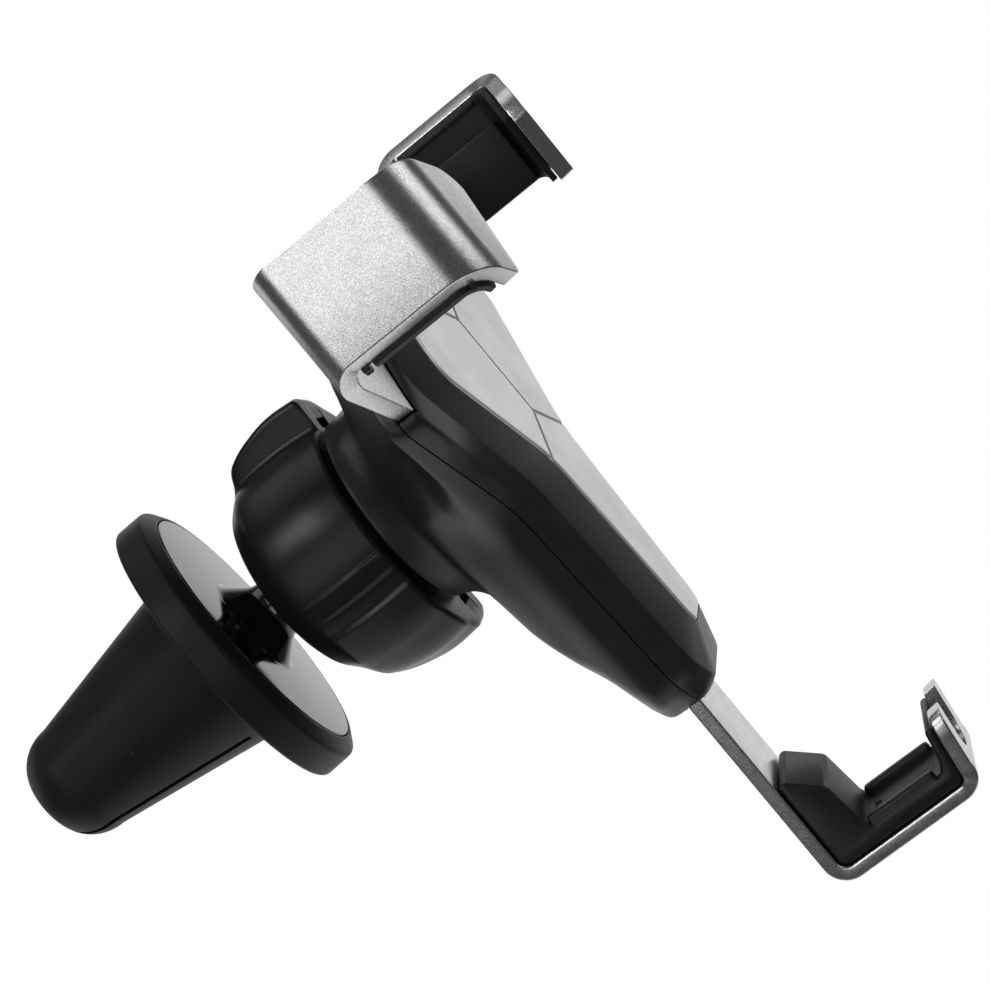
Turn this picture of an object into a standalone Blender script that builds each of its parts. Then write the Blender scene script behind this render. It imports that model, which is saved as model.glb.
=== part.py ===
"""Air vent phone holder whose arms close under the weight of the phone.

The housing hangs on a ball joint behind a rubber vent plug. A foot and two arms
slide in the housing, joined by a carriage with a level slot: the phone pushes the
foot down, the slot takes the arm pins down with it, and the slanted guides turn
that drop into an inward grip. A spring lifts the foot and opens the arms again.

Sizes are in millimetres in the housing's frame: X across, Y to the vent, Z up,
face plate on Y = 0 and its waist on Z = 0. The part's origin is the middle of the
vent flange's rear face, on the plug's own axis.
"""
import math

import bmesh
import bpy
from mathutils import Matrix, Vector

MM = 0.001

# face plate
plate_thickness = 1.2
plate_gap = 0.15
plate_corner_bevel = 0.3
plate_shoulder = (24.3, 16.5)
plate_waist = (8.2, 0.5)
plate_side_end = (4.6, -23.0)
plate_foot_end = (3.4, -24.3)
plate_notch_rise = 8.62
plate_groove_width = 0.45
plate_groove_depth = 0.3
plate_groove_rise = 5.62
plate_groove_fork_z = 4.7

# housing
rim_drop = 2.0
rim_lip = 0.2
seam_y = 4.95
seam_gap = 0.1
edge_y = 7.0
recess_floor_gap = 0.15
rim_shoulder = (29.7, 17.6)
rim_waist = (14.9, 0.3)
rim_swell = 0.22
rim_swell_y = 3.3
limb_hollow = 0.2
rim_side_end = (11.0, -25.5)
rim_foot_end = (6.3, -30.0)
rim_notch_rise = 11.02
seam_shoulder = (32.9, 14.6)
seam_waist = (17.2, -0.5)
seam_side_end = (11.9, -26.6)
seam_foot_end = (6.4, -31.4)
seam_notch_rise = 11.92
edge_shoulder = (33.0, 15.4)
edge_waist = (17.9, -1.0)
edge_side_end = (12.2, -27.6)
edge_foot_end = (5.7, -31.3)
edge_notch_rise = 12.12
edge_side_y = 7.8
edge_foot_y = 9.0
neck_z = 5.6
neck_radius = 12.0
neck_end_y = 18.9
neck_round = 0.35

# ball joint
ball_radius = 7.5
ball_y = 28.45
stem_radius = 3.5
hub_radius = 5.4
hub_length = 2.3
cup_gap = 0.12
cup_wall = 0.6
cup_edge_angle = 107.0
socket_gap = 0.2
socket_wall = 1.7
socket_floor_gap = 0.5
socket_end_y = 30.5
socket_slot_width = 1.2
socket_slot_y = 22.0
ring_front = 1.0
ring_rear = 4.0

# clamp nut
nut_front_y = 19.84
nut_length = 14.6
nut_wall = 2.25
nut_swell = 0.5
nut_swell_y = 4.5
nut_dome = 3.3
nut_rim_width = 1.1
nut_mouth_depth = 1.8
nut_throat_step = 1.7
nut_lug_rise = 3.3
nut_lug_length = 11.6
nut_lug_fade = 2.6
nut_bore_gap = 0.33
nut_lug_starts = (8.0, 205.0)
nut_lug_angle = 82.0
nut_lug_lead = 20.0

# vent clip, measured from the ball centre along the plug's axis
clip_swivel = 8.3
clip_pitch = -1.8
flange_radius = 17.9
flange_front = 12.85
flange_rear = 16.4
flange_face = 11.7
flange_face_radius = 16.1
clip_plate_thickness = 0.95
clip_plate_gap = 0.12
clip_post_radius = 2.9
clip_post_length = 5.2
plug_base_radius = 10.6
plug_tip_radius = 6.9
plug_length = 26.6
plug_slit_width = 0.55
plug_slit_start = 2.8
plug_slit_roll = 36.0

# grip arms
arm_outer_x = 45.5
arm_thickness = 2.0
arm_bend = 2.4
arm_front_y = -15.2
arm_rear_y = 4.8
arm_top_z = 36.07
arm_bottom_front_z = 24.16
arm_bottom_rear_z = 22.68
arm_lip_reach = 7.6
arm_lip_round = 3.4
arm_slope = 0.5295
arm_leg_end_x = 11.6
arm_edge_bevel = 0.25
arm_channel_gap = 0.3
arm_pin_from_end = 2.4
pin_radius = 1.35
pin_roller_radius = 1.7
pin_gap = 0.12
pin_end_y = 9.45
clip_ring_radius = 2.5
clip_ring_thickness = 0.45
arm_pad_thickness = 0.8
arm_pad_block = 1.1
arm_pad_gap = 0.12
arm_pad_top_inset = 0.7
arm_pad_hang = 0.9

# foot and carriage
foot_rear_y = 6.65
foot_thickness = 1.65
foot_width = 12.4
foot_bottom_z = -58.0
foot_front_y = -13.8
foot_lean = 0.9
foot_bend = 3.0
foot_tip_z = -47.9
foot_prong_width = 13.3
foot_prong_gap = 5.9
foot_notch_z = -54.6
foot_top_z = 8.0
foot_pad_gap = 0.12
foot_pad_width = 11.6
foot_pad_floor_z = -54.2
foot_pad_rib_z = -53.15
foot_pad_rib_width = 1.5
foot_pad_lining = 1.05
foot_pad_root = 1.4
foot_block_front = -0.2
foot_block_edge = (0.45, -47.5)
foot_block_shoulder = (4.0, -44.25)
carriage_thickness = 1.6
carriage_gap = 0.15
carriage_half_bar = 3.6
carriage_bar_end = 17.6
carriage_corner = 3.0
carriage_tongue_width = 10.0
carriage_tongue_z = -5.0
carriage_ledge_depth = 3.6
carriage_ledge_height = 1.5
carriage_ledge_width = 5.6
slot_play = 0.15
rivet_radius = 1.2
rivet_drop = 3.0
rivet_pitch = 5.9
rivet_head_radius = 2.1
rivet_head_height = 0.55
foot_travel = 5.8
spring_radius = 2.1
spring_wire = 0.28
spring_turns = 8
spring_seat_z = -19.2
spring_gap = 0.15
post_radius = 1.45
post_length = 5.0
screw_x = 16.6
screw_rise = 5.83
screw_radius = 1.1
screw_head_radius = 2.2
screw_head_height = 1.5
screw_recess_depth = 3.4

clip_turn = math.radians(clip_swivel)
clip_tip = math.radians(clip_pitch)
ball_centre = Vector((0.0, ball_y, neck_z))
clip_rotation = Matrix.Rotation(clip_turn, 4, "Z") @ Matrix.Rotation(clip_tip, 4, "X")
clip_axis = clip_rotation @ Vector((0.0, 1.0, 0.0))
origin = ball_centre + clip_axis * flange_rear
slide_angle = math.atan(arm_slope)
cup_outer = ball_radius + cup_gap + cup_wall
nut_bore = cup_outer + socket_gap + socket_wall + nut_bore_gap
nut_radius = nut_bore + nut_wall
leg_top_z = arm_top_z - arm_slope * arm_outer_x
plate_notch_z = leg_top_z + plate_notch_rise
plate_groove_top_z = leg_top_z + plate_groove_rise
rim_notch_z = leg_top_z + rim_notch_rise
seam_notch_z = leg_top_z + seam_notch_rise
edge_notch_z = leg_top_z + edge_notch_rise
screw_z = leg_top_z + arm_slope * screw_x + screw_rise


def material(name, color, metallic, roughness):
    mat = bpy.data.materials.new(name)
    mat.use_nodes = True
    shader = mat.node_tree.nodes["Principled BSDF"]
    shader.inputs["Base Color"].default_value = (*color, 1.0)
    shader.inputs["Metallic"].default_value = metallic
    shader.inputs["Roughness"].default_value = roughness
    mat.diffuse_color = (*color, 1.0)
    return mat


def clear_scene():
    for obj in list(bpy.data.objects):
        bpy.data.objects.remove(obj, do_unlink=True)
    for mesh in list(bpy.data.meshes):
        bpy.data.meshes.remove(mesh)


def place(name, mesh, mat, pivot, clip=False, smooth=35.0):
    """Add a mesh given in housing millimetres as an object whose origin is the pivot."""
    pivot = Vector(pivot)
    mesh.transform(Matrix.Translation(-pivot))
    mesh.transform(Matrix.Scale(MM, 4))
    obj = bpy.data.objects.new(name, mesh)
    bpy.context.scene.collection.objects.link(obj)
    if clip:
        obj.matrix_world = Matrix.Translation((ball_centre - origin) * MM) @ clip_rotation
    else:
        obj.location = (pivot - origin) * MM
    if mat:
        mesh.materials.append(mat)
    mesh.shade_smooth()
    mesh.set_sharp_from_angle(angle=math.radians(smooth))
    return obj


def mesh_from(bm, name):
    bmesh.ops.recalc_face_normals(bm, faces=bm.faces[:])
    mesh = bpy.data.meshes.new(name)
    bm.to_mesh(mesh)
    bm.free()
    return mesh


def rings_mesh(name, rings, closed=False):
    """Skin a list of rings of equal length, with caps, or as a closed tube of rings."""
    bm = bmesh.new()
    loops = [[bm.verts.new(p) for p in ring] for ring in rings]
    count = len(loops[0])
    pairs = list(zip(loops, loops[1:]))
    if closed:
        pairs.append((loops[-1], loops[0]))
    for a, b in pairs:
        for i in range(count):
            j = (i + 1) % count
            bm.faces.new((a[i], a[j], b[j], b[i]))
    if not closed:
        bm.faces.new(list(reversed(loops[0])))
        bm.faces.new(loops[-1])
    bmesh.ops.remove_doubles(bm, verts=bm.verts[:], dist=0.0001)
    return mesh_from(bm, name)


def lathe_mesh(name, profile, segments, centre, radial=None):
    """Turn (radius, y) points round the Y axis through the centre; a first or last radius of 0 closes on the axis."""
    bm = bmesh.new()
    cx, cy, cz = centre
    loops = []
    for k, (r, y) in enumerate(profile):
        if r <= 0.0:
            loops.append([bm.verts.new((cx, cy + y, cz))])
            continue
        ring = []
        for i in range(segments):
            t = 2.0 * math.pi * i / segments
            rr = r if radial is None else radial(r, y, t)
            ring.append(bm.verts.new((cx + rr * math.cos(t), cy + y, cz + rr * math.sin(t))))
        loops.append(ring)
    pairs = list(zip(loops, loops[1:]))
    if len(loops[0]) > 1 and len(loops[-1]) > 1:
        pairs.append((loops[-1], loops[0]))
    for a, b in pairs:
        for i in range(segments):
            j = (i + 1) % segments
            if len(a) == 1:
                bm.faces.new((a[0], b[j], b[i]))
            elif len(b) == 1:
                bm.faces.new((a[i], a[j], b[0]))
            else:
                bm.faces.new((a[i], a[j], b[j], b[i]))
    return mesh_from(bm, name)


def prism_mesh(name, points, low, high, axis="Y"):
    """Extrude a flat outline between two levels; points are (x, z) for Y and (y, z) for X."""
    bm = bmesh.new()

    def at(p, level):
        return (p[0], level, p[1]) if axis == "Y" else (level, p[0], p[1])

    a = [bm.verts.new(at(p, low)) for p in points]
    b = [bm.verts.new(at(p, high)) for p in points]
    count = len(points)
    bm.faces.new(a)
    bm.faces.new(list(reversed(b)))
    for i in range(count):
        j = (i + 1) % count
        bm.faces.new((a[j], a[i], b[i], b[j]))
    return mesh_from(bm, name)


def box_mesh(name, low, high):
    pts = [(low[0], low[2]), (high[0], low[2]), (high[0], high[2]), (low[0], high[2])]
    return prism_mesh(name, pts, low[1], high[1])


def strip_mesh(name, stations):
    """Sheet metal strip: each station holds the four corners of its cross-section."""
    bm = bmesh.new()
    loops = [[bm.verts.new(p) for p in four] for four in stations]
    for a, b in zip(loops, loops[1:]):
        for i in range(4):
            j = (i + 1) % 4
            bm.faces.new((a[i], a[j], b[j], b[i]))
    bm.faces.new(list(reversed(loops[0])))
    bm.faces.new(loops[-1])
    return mesh_from(bm, name)


def arc(centre, radius, start, end, steps):
    out = []
    for i in range(steps + 1):
        t = math.radians(start + (end - start) * i / steps)
        out.append((centre[0] + radius * math.cos(t), centre[1] + radius * math.sin(t)))
    return out


def cut(obj, cutters):
    """Boolean difference with hidden cutters, one modifier each."""
    for cutter in cutters:
        cutter.hide_render = True
        cutter.display_type = "WIRE"
        mod = obj.modifiers.new("cut", "BOOLEAN")
        mod.operation = "DIFFERENCE"
        mod.solver = "EXACT"
        mod.object = cutter
    deps = bpy.context.evaluated_depsgraph_get()
    result = bpy.data.meshes.new_from_object(obj.evaluated_get(deps))
    obj.modifiers.clear()
    old = obj.data
    obj.data = result
    bpy.data.meshes.remove(old)
    for cutter in cutters:
        mesh = cutter.data
        bpy.data.objects.remove(cutter, do_unlink=True)
        bpy.data.meshes.remove(mesh)
    obj.data.shade_smooth()
    obj.data.set_sharp_from_angle(angle=math.radians(35.0))


def cutter(mesh, clip=False, matrix=None):
    if matrix is not None:
        mesh.transform(matrix)
    return place("cutter", mesh, None, (0.0, 0.0, 0.0) if clip else ball_centre, clip)


def bevel(obj, width, segments=1, angle=40.0):
    mod = obj.modifiers.new("edge", "BEVEL")
    mod.width = width * MM
    mod.segments = segments
    mod.limit_method = "ANGLE"
    mod.angle_limit = math.radians(angle)
    mod.harden_normals = False


def corner_ring(corners, setbacks, divisions, steps=3):
    """Closed 3-D ring through the corners, each rounded over its setback, with a fixed point count."""
    count = len(corners)
    pts = [Vector(c) for c in corners]
    ring = []
    ends = []
    for i, p in enumerate(pts):
        before = (pts[i - 1] - p).normalized()
        after = (pts[(i + 1) % count] - p).normalized()
        a = p + before * setbacks[i]
        b = p + after * setbacks[i]
        arc_pts = []
        for k in range(steps + 1):
            t = k / steps
            arc_pts.append(a * (1 - t) ** 2 + p * 2 * t * (1 - t) + b * t**2)
        ends.append(arc_pts)
    for i in range(count):
        ring += ends[i]
        a = ends[i][-1]
        b = ends[(i + 1) % count][0]
        for k in range(1, divisions[i]):
            ring.append(a.lerp(b, k / divisions[i]))
    return ring


def limb_top(shoulder, notch_z):
    """Upper corner of a limb: its end runs square to the slide, its top edge along the slide."""
    run = Vector((-math.sin(slide_angle), math.cos(slide_angle)))
    t = (notch_z + arm_slope * shoulder[0] - shoulder[1]) / (run.y - arm_slope * run.x)
    return (shoulder[0] + run.x * t, shoulder[1] + run.y * t)


def outline(shoulder, waist, side, foot, notch_z, levels):
    """Y-shaped outline with its levels in Y for foot, side, waist, shoulder, top and notch."""
    top = limb_top(shoulder, notch_z)
    right = [
        (foot[0], levels[0], foot[1]),
        (side[0], levels[1], side[1]),
        (waist[0], levels[2], waist[1]),
        (shoulder[0], levels[3], shoulder[1]),
        (top[0], levels[4], top[1]),
    ]
    left = [(-x, y, z) for x, y, z in reversed(right)]
    return right + [(0.0, levels[5], notch_z)] + left


ring_divisions = [2, 5, 4, 4, 4, 4, 4, 4, 5, 2, 3]


def ring_of(shoulder, waist, side, foot, notch_z, levels, rounding):
    r = rounding
    setbacks = [r[0], r[1], r[2], r[3], r[4], r[5], r[4], r[3], r[2], r[1], r[0]]
    corners = outline(shoulder, waist, side, foot, notch_z, levels)
    return corner_ring(corners, setbacks, ring_divisions)


plate_rounding = (0.6, 0.9, 3.0, 3.6, 3.0, 2.5)
rim_rounding = (1.8, 2.6, 3.6, 3.6, 3.6, 3.0)
seam_rounding = (1.8, 2.6, 3.6, 1.8, 3.6, 3.0)


def grown(ring, amount):
    """Move a flat ring outward by an amount in its own plane."""
    count = len(ring)
    out = []
    for i, p in enumerate(ring):
        d = ring[(i + 1) % count] - ring[i - 1]
        n = Vector((d.z, 0.0, -d.x))
        if n.length > 0.0:
            n.normalize()
        out.append(p + n * amount)
    return out


def groove_outline():
    """One flat outline for the plate's centre line with its two forks."""
    h = plate_groove_width / 2
    reach = 40.0
    fork = plate_groove_fork_z
    top = plate_groove_top_z
    down = math.atan2(fork - plate_waist[1], plate_waist[0])
    up = slide_angle
    right = [
        (reach * math.cos(down) - h * math.sin(down), fork - reach * math.sin(down) - h * math.cos(down)),
        (reach * math.cos(down) + h * math.sin(down), fork - reach * math.sin(down) + h * math.cos(down)),
        (h, fork + h / math.cos(down) - h * math.tan(down)),
        (h, top - h / math.cos(up) + h * math.tan(up)),
        (reach * math.cos(up) + h * math.sin(up), top + reach * math.sin(up) - h * math.cos(up)),
        (reach * math.cos(up) - h * math.sin(up), top + reach * math.sin(up) + h * math.cos(up)),
    ]
    left = [(-x, z) for x, z in reversed(right)]
    return [(0.0, fork - h / math.cos(down))] + right + [(0.0, top + h / math.cos(up))] + left


def build_face_plate(mat):
    flat = [0.0] * 6
    ring = ring_of(plate_shoulder, plate_waist, plate_side_end, plate_foot_end, plate_notch_z, flat, plate_rounding)

    def at(y, inward):
        return [Vector((p.x, y, p.z)) for p in grown(ring, -inward)]

    rings = [
        at(0.0, plate_corner_bevel),
        at(plate_corner_bevel, 0.0),
        at(plate_thickness, 0.0),
    ]
    plate = place("face_plate", rings_mesh("face_plate", rings), mat, (0.0, 0.0, 0.0))
    cut(plate, [cutter(prism_mesh("groove", groove_outline(), -1.0, plate_groove_depth))])
    return plate


def leg_channel(side):
    """Slanted channel that one arm's leg slides in, open to the rear of the front half."""
    low = arm_bottom_rear_z - arm_slope * arm_outer_x - arm_channel_gap / math.cos(slide_angle)
    high = arm_top_z - arm_slope * arm_outer_x + arm_channel_gap / math.cos(slide_angle)
    near = -4.0
    far = 60.0
    pts = [
        (near, low + arm_slope * near),
        (far, low + arm_slope * far),
        (far, high + arm_slope * far),
        (near, high + arm_slope * near),
    ]
    pts = [(x * side, z) for x, z in pts]
    return cutter(prism_mesh("channel", pts, arm_rear_y - arm_thickness - arm_channel_gap, 9.0))


def build_front_shell(mat):
    rear = seam_y - seam_gap / 2
    seam = ring_of(seam_shoulder, seam_waist, seam_side_end, seam_foot_end, seam_notch_z, [rear] * 6, seam_rounding)
    rim = ring_of(rim_shoulder, rim_waist, rim_side_end, rim_foot_end, rim_notch_z, [rim_drop] * 6, rim_rounding)
    flat = [0.0] * 6
    plate = ring_of(plate_shoulder, plate_waist, plate_side_end, plate_foot_end, plate_notch_z, flat, plate_rounding)
    mouth = grown(plate, plate_gap)
    floor = plate_thickness + recess_floor_gap
    part = (rim_swell_y - rim_drop) / (rear - rim_drop) + rim_swell
    swell = [Vector((a.x + (b.x - a.x) * part, rim_swell_y, a.z + (b.z - a.z) * part)) for a, b in zip(rim, seam)]
    rings = [
        seam,
        swell,
        rim,
        [Vector((p.x, rim_lip, p.z)) for p in mouth],
        [Vector((p.x, floor, p.z)) for p in mouth],
    ]
    shell = place("front_shell", rings_mesh("front_shell", rings), mat, (0.0, 0.0, 0.0))
    foot_slot = box_mesh("slot", (-foot_width / 2 - 0.3, seam_y - 0.35, -40.0), (foot_width / 2 + 0.3, 9.0, 8.5))
    bores = []
    for side in (-1, 1):
        rod = lathe_mesh("bore", [(0.0, seam_y - 2.2), (screw_radius + 0.1, seam_y - 2.2), (screw_radius + 0.1, 9.0), (0.0, 9.0)], 20, (screw_x * side, 0.0, screw_z))
        bores.append(cutter(rod))
    cut(shell, [leg_channel(-1), leg_channel(1), cutter(foot_slot)] + bores)
    return shell


def build_rear_shell(mat):
    front = seam_y + seam_gap / 2
    seam = ring_of(seam_shoulder, seam_waist, seam_side_end, seam_foot_end, seam_notch_z, [front] * 6, seam_rounding)
    levels = [edge_foot_y, edge_side_y, edge_y + 0.2, edge_y - 0.3, edge_y - 0.3, edge_y]
    edge = ring_of(edge_shoulder, edge_waist, edge_side_end, edge_foot_end, edge_notch_z, levels, seam_rounding)
    centre = Vector((0.0, 0.0, neck_z))

    def neck_point(p, radius, y):
        d = Vector((p.x, 0.0, p.z - neck_z)).normalized()
        return centre + d * radius + Vector((0.0, y, 0.0))

    rise = [(0.03, 0.05), (0.16, 0.17), (0.30, 0.29), (0.45, 0.46), (0.62, 0.60), (0.76, 0.655), (0.87, 0.70), (0.94, 0.79), (0.98, 0.89), (1.0, 1.0)]
    rings = [seam, edge]
    for s, g in rise:
        ring = []
        for p in edge:
            q = neck_point(p, neck_radius, neck_end_y)
            away = Vector((p.x, p.z - neck_z)).normalized().y
            hollow = limb_hollow * min(1.0, max(0.0, away / 0.35 + 0.2)) * math.sin(math.pi * s**0.7)
            ring.append(Vector((p.x + (q.x - p.x) * s, p.y + (q.y - p.y) * (g - hollow), p.z + (q.z - p.z) * s)))
        rings.append(ring)
    bore = cup_outer + socket_gap
    floor = ball_y - cup_outer - socket_floor_gap
    for radius, y in (
        (neck_radius - neck_round, neck_end_y + neck_round),
        (bore + socket_wall, neck_end_y + neck_round),
        (bore + socket_wall, socket_end_y - 0.4),
        (bore + socket_wall - 0.4, socket_end_y),
        (bore, socket_end_y),
        (bore, floor),
    ):
        rings.append([neck_point(p, radius, y) for p in edge])
    shell = place("rear_shell", rings_mesh("rear_shell", rings), mat, (0.0, 0.0, 0.0))

    pin_x = arm_leg_end_x + arm_pin_from_end
    pin_z = leg_middle(pin_x)
    bar_front = foot_rear_y + carriage_gap
    bar_rear = bar_front + carriage_thickness
    low = pin_z - carriage_half_bar - foot_travel - 0.6
    high = pin_z + carriage_half_bar + 0.6
    side = carriage_bar_end + 0.5
    corner = carriage_corner + 0.2
    pts = [(side - corner, low), (side, low + corner), (side, high), (-side, high), (-side, low + corner), (-side + corner, low)]
    deep = pin_end_y + 0.45
    half = foot_width / 2 + 0.3
    tongue = carriage_tongue_width / 2 + 0.4
    ledge = carriage_ledge_width / 2 + 0.4
    ledge_rear = bar_rear + carriage_ledge_depth + 0.4
    cutters = [
        cutter(prism_mesh("room", pts, 3.0, deep)),
        cutter(box_mesh("room", (-half, 3.0, -45.0), (half, foot_rear_y + 0.3, low + 4.0))),
        cutter(box_mesh("room", (-tongue, 3.0, carriage_tongue_z - foot_travel - 1.2), (tongue, bar_rear + rivet_head_height + 0.7, low + 4.0))),
        cutter(box_mesh("room", (-ledge, 3.0, spring_seat_z), (ledge, ledge_rear, carriage_tongue_z + carriage_ledge_height + 0.8))),
    ]
    wide = 20.0
    half_slot = socket_slot_width / 2
    for turn in (0.0, 90.0):
        slot = box_mesh("slot", (-wide / 2, socket_slot_y, -half_slot), (wide / 2, 40.0, half_slot))
        cutters.append(cutter(slot, matrix=Matrix.Translation(centre) @ Matrix.Rotation(math.radians(turn + 45.0), 4, "Y")))
    for s in (-1, 1):
        x = screw_x * s
        rod = lathe_mesh("bore", [(0.0, 3.0), (screw_radius + 0.1, 3.0), (screw_radius + 0.1, 20.0), (0.0, 20.0)], 20, (x, 0.0, screw_z))
        sink = lathe_mesh("sink", [(0.0, screw_seat_y()), (screw_head_radius + 0.25, screw_seat_y()), (screw_head_radius + 0.25, 20.0), (0.0, 20.0)], 28, (x, 0.0, screw_z))
        cutters.append(cutter(rod))
        cutters.append(cutter(sink))
    post = lathe_mesh("post", [(0.0, -2.0), (post_radius + 0.1, -2.0), (post_radius + 0.1, 1.0), (0.0, 1.0)], 20, (0.0, 0.0, 0.0))
    stand = Matrix.Translation((0.0, spring_y(), spring_seat_z)) @ Matrix.Rotation(math.radians(90.0), 4, "X")
    cutters.append(cutter(post, matrix=stand))
    cut(shell, cutters)
    return shell


def screw_seat_y():
    return seam_y + 2.3


def spring_y():
    return foot_rear_y + carriage_gap + carriage_thickness + carriage_ledge_depth / 2 - 0.55


def leg_middle(x):
    top = arm_top_z - arm_slope * (arm_outer_x - x)
    low = arm_bottom_rear_z - arm_slope * (arm_outer_x - x)
    return (top + low) / 2


def build_screws(mat):
    for name, side in (("housing_screw_left", -1), ("housing_screw_right", 1)):
        seat = screw_seat_y() + 0.1
        top = seat + screw_head_height
        tip = seam_y - 1.9
        profile = [
            (0.0, tip),
            (screw_radius * 0.5, tip),
            (screw_radius, tip + 0.6),
            (screw_radius, seat),
            (screw_head_radius, seat),
            (screw_head_radius, top - 0.35),
            (screw_head_radius - 0.35, top),
            (0.0, top),
        ]
        place_at = (screw_x * side, 0.0, screw_z)
        screw = place(name, lathe_mesh(name, profile, 24, place_at), mat, place_at)
        blades = []
        for turn in (0.0, 90.0):
            blade = box_mesh("drive", (-1.3, top - 0.9, -0.28), (1.3, top + 1.0, 0.28))
            move = Matrix.Translation(place_at) @ Matrix.Rotation(math.radians(turn + 20.0), 4, "Y")
            blades.append(cutter(blade, matrix=move))
        cut(screw, blades)


def build_ball_stud(mat):
    face = flange_face - 0.05
    rear = flange_face + clip_plate_thickness
    sweep = []
    start = math.degrees(math.asin(stem_radius / ball_radius))
    for i in range(11):
        t = math.radians(start + (180.0 - start) * i / 10)
        sweep.append((ball_radius * math.sin(t), ball_radius * math.cos(t)))
    sweep[-1] = (0.0, -ball_radius)
    plate_radius = flange_face_radius - 0.2 - clip_plate_gap
    profile = list(reversed(sweep)) + [
        (stem_radius, face - hub_length),
        (hub_radius - 0.6, face - 0.9),
        (hub_radius, face),
        (plate_radius - 0.2, face),
        (plate_radius, face + 0.2),
        (plate_radius, rear),
        (clip_post_radius, rear),
        (clip_post_radius, rear + clip_post_length - 0.5),
        (clip_post_radius - 0.5, rear + clip_post_length),
        (0.0, rear + clip_post_length),
    ]
    return place("ball_stud", lathe_mesh("ball_stud", profile, 40, (0, 0, 0)), mat, (0, 0, 0), clip=True)


def build_vent_plug(mat):
    recess = flange_face + clip_plate_thickness + clip_plate_gap
    post = clip_post_radius + clip_plate_gap
    post_end = recess + clip_post_length + 0.1
    tip = flange_rear + plug_length
    dome = plug_tip_radius * 0.8
    slope = (plug_base_radius - plug_tip_radius) / (plug_length - dome)
    profile = [
        (0.0, post_end),
        (post, post_end),
        (post, recess),
        (flange_face_radius - 0.2, recess),
        (flange_face_radius - 0.2, flange_face + 0.15),
        (flange_face_radius, flange_face),
        (flange_radius - 0.1, flange_front - 0.1),
        (flange_radius, flange_front + 0.15),
        (flange_radius, flange_rear - 0.4),
        (flange_radius - 0.4, flange_rear),
        (plug_base_radius + 0.8, flange_rear),
        (plug_base_radius + 0.15, flange_rear + 0.3),
        (plug_base_radius - slope, flange_rear + 1.0),
    ]
    for i in range(7):
        t = math.radians(90.0 * i / 6)
        start = tip - dome
        if i == 0:
            profile.append((plug_tip_radius, start))
        elif i < 6:
            profile.append((plug_tip_radius * math.cos(t) ** 0.75, start + dome * math.sin(t)))
    profile.append((0.0, tip))
    plug = place("vent_plug", lathe_mesh("vent_plug", profile, 48, (0, 0, 0)), mat, (0, 0, 0), clip=True)
    half = plug_slit_width / 2
    slit = box_mesh("slit", (-half, flange_rear + plug_slit_start, -20.0), (half, tip + 2.0, 20.0))
    cut(plug, [cutter(slit, clip=True, matrix=Matrix.Rotation(math.radians(plug_slit_roll), 4, "Y"))])
    return plug


def build_friction_pad(mat):
    inner = ball_radius + cup_gap
    outer = inner + cup_wall
    profile = []
    for i in range(7):
        t = math.radians(180.0 - (180.0 - cup_edge_angle) * i / 6)
        profile.append((0.0 if i == 0 else outer * math.sin(t), outer * math.cos(t)))
    for i in range(7):
        t = math.radians(cup_edge_angle + (180.0 - cup_edge_angle) * i / 6)
        profile.append((0.0 if i == 6 else inner * math.sin(t), inner * math.cos(t)))
    return place("friction_pad", lathe_mesh("friction_pad", profile, 32, ball_centre), mat, ball_centre)


def build_compression_ring(mat):
    inner = ball_radius + cup_gap
    outer = inner + cup_wall
    profile = []
    for i in range(5):
        y = ring_front + (ring_rear - ring_front) * i / 4
        profile.append((math.sqrt(inner * inner - y * y), y))
    profile += [(outer - 0.3, ring_rear), (outer, ring_rear - 0.3), (outer, ring_front)]
    return place("compression_ring", lathe_mesh("compression_ring", profile, 32, ball_centre), mat, ball_centre)


def lug_height(t):
    """Height of the grip lugs over the barrel, from 0 to 1: two low steps lead in, then a ramp and a steep flank."""
    lead = nut_lug_lead
    wide = nut_lug_angle
    shape = [
        (-lead - 3.0, 0.0),
        (-lead, 0.04),
        (-lead / 2 - 1.0, 0.04),
        (-lead / 2 + 1.0, 0.085),
        (-1.0, 0.085),
        (2.0, 0.24),
        (wide * 0.3, 0.4),
        (wide * 0.6, 0.66),
        (wide * 0.8, 0.86),
        (wide - 4.0, 1.0),
        (wide, 1.0),
        (wide + 6.0, 0.0),
    ]
    best = 0.0
    for start in nut_lug_starts:
        u = (math.degrees(t) - start + 180.0) % 360.0 - 180.0
        for (a, low), (b, high) in zip(shape, shape[1:]):
            if a <= u < b:
                best = max(best, low + (high - low) * (u - a) / (b - a))
    return best


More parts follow.
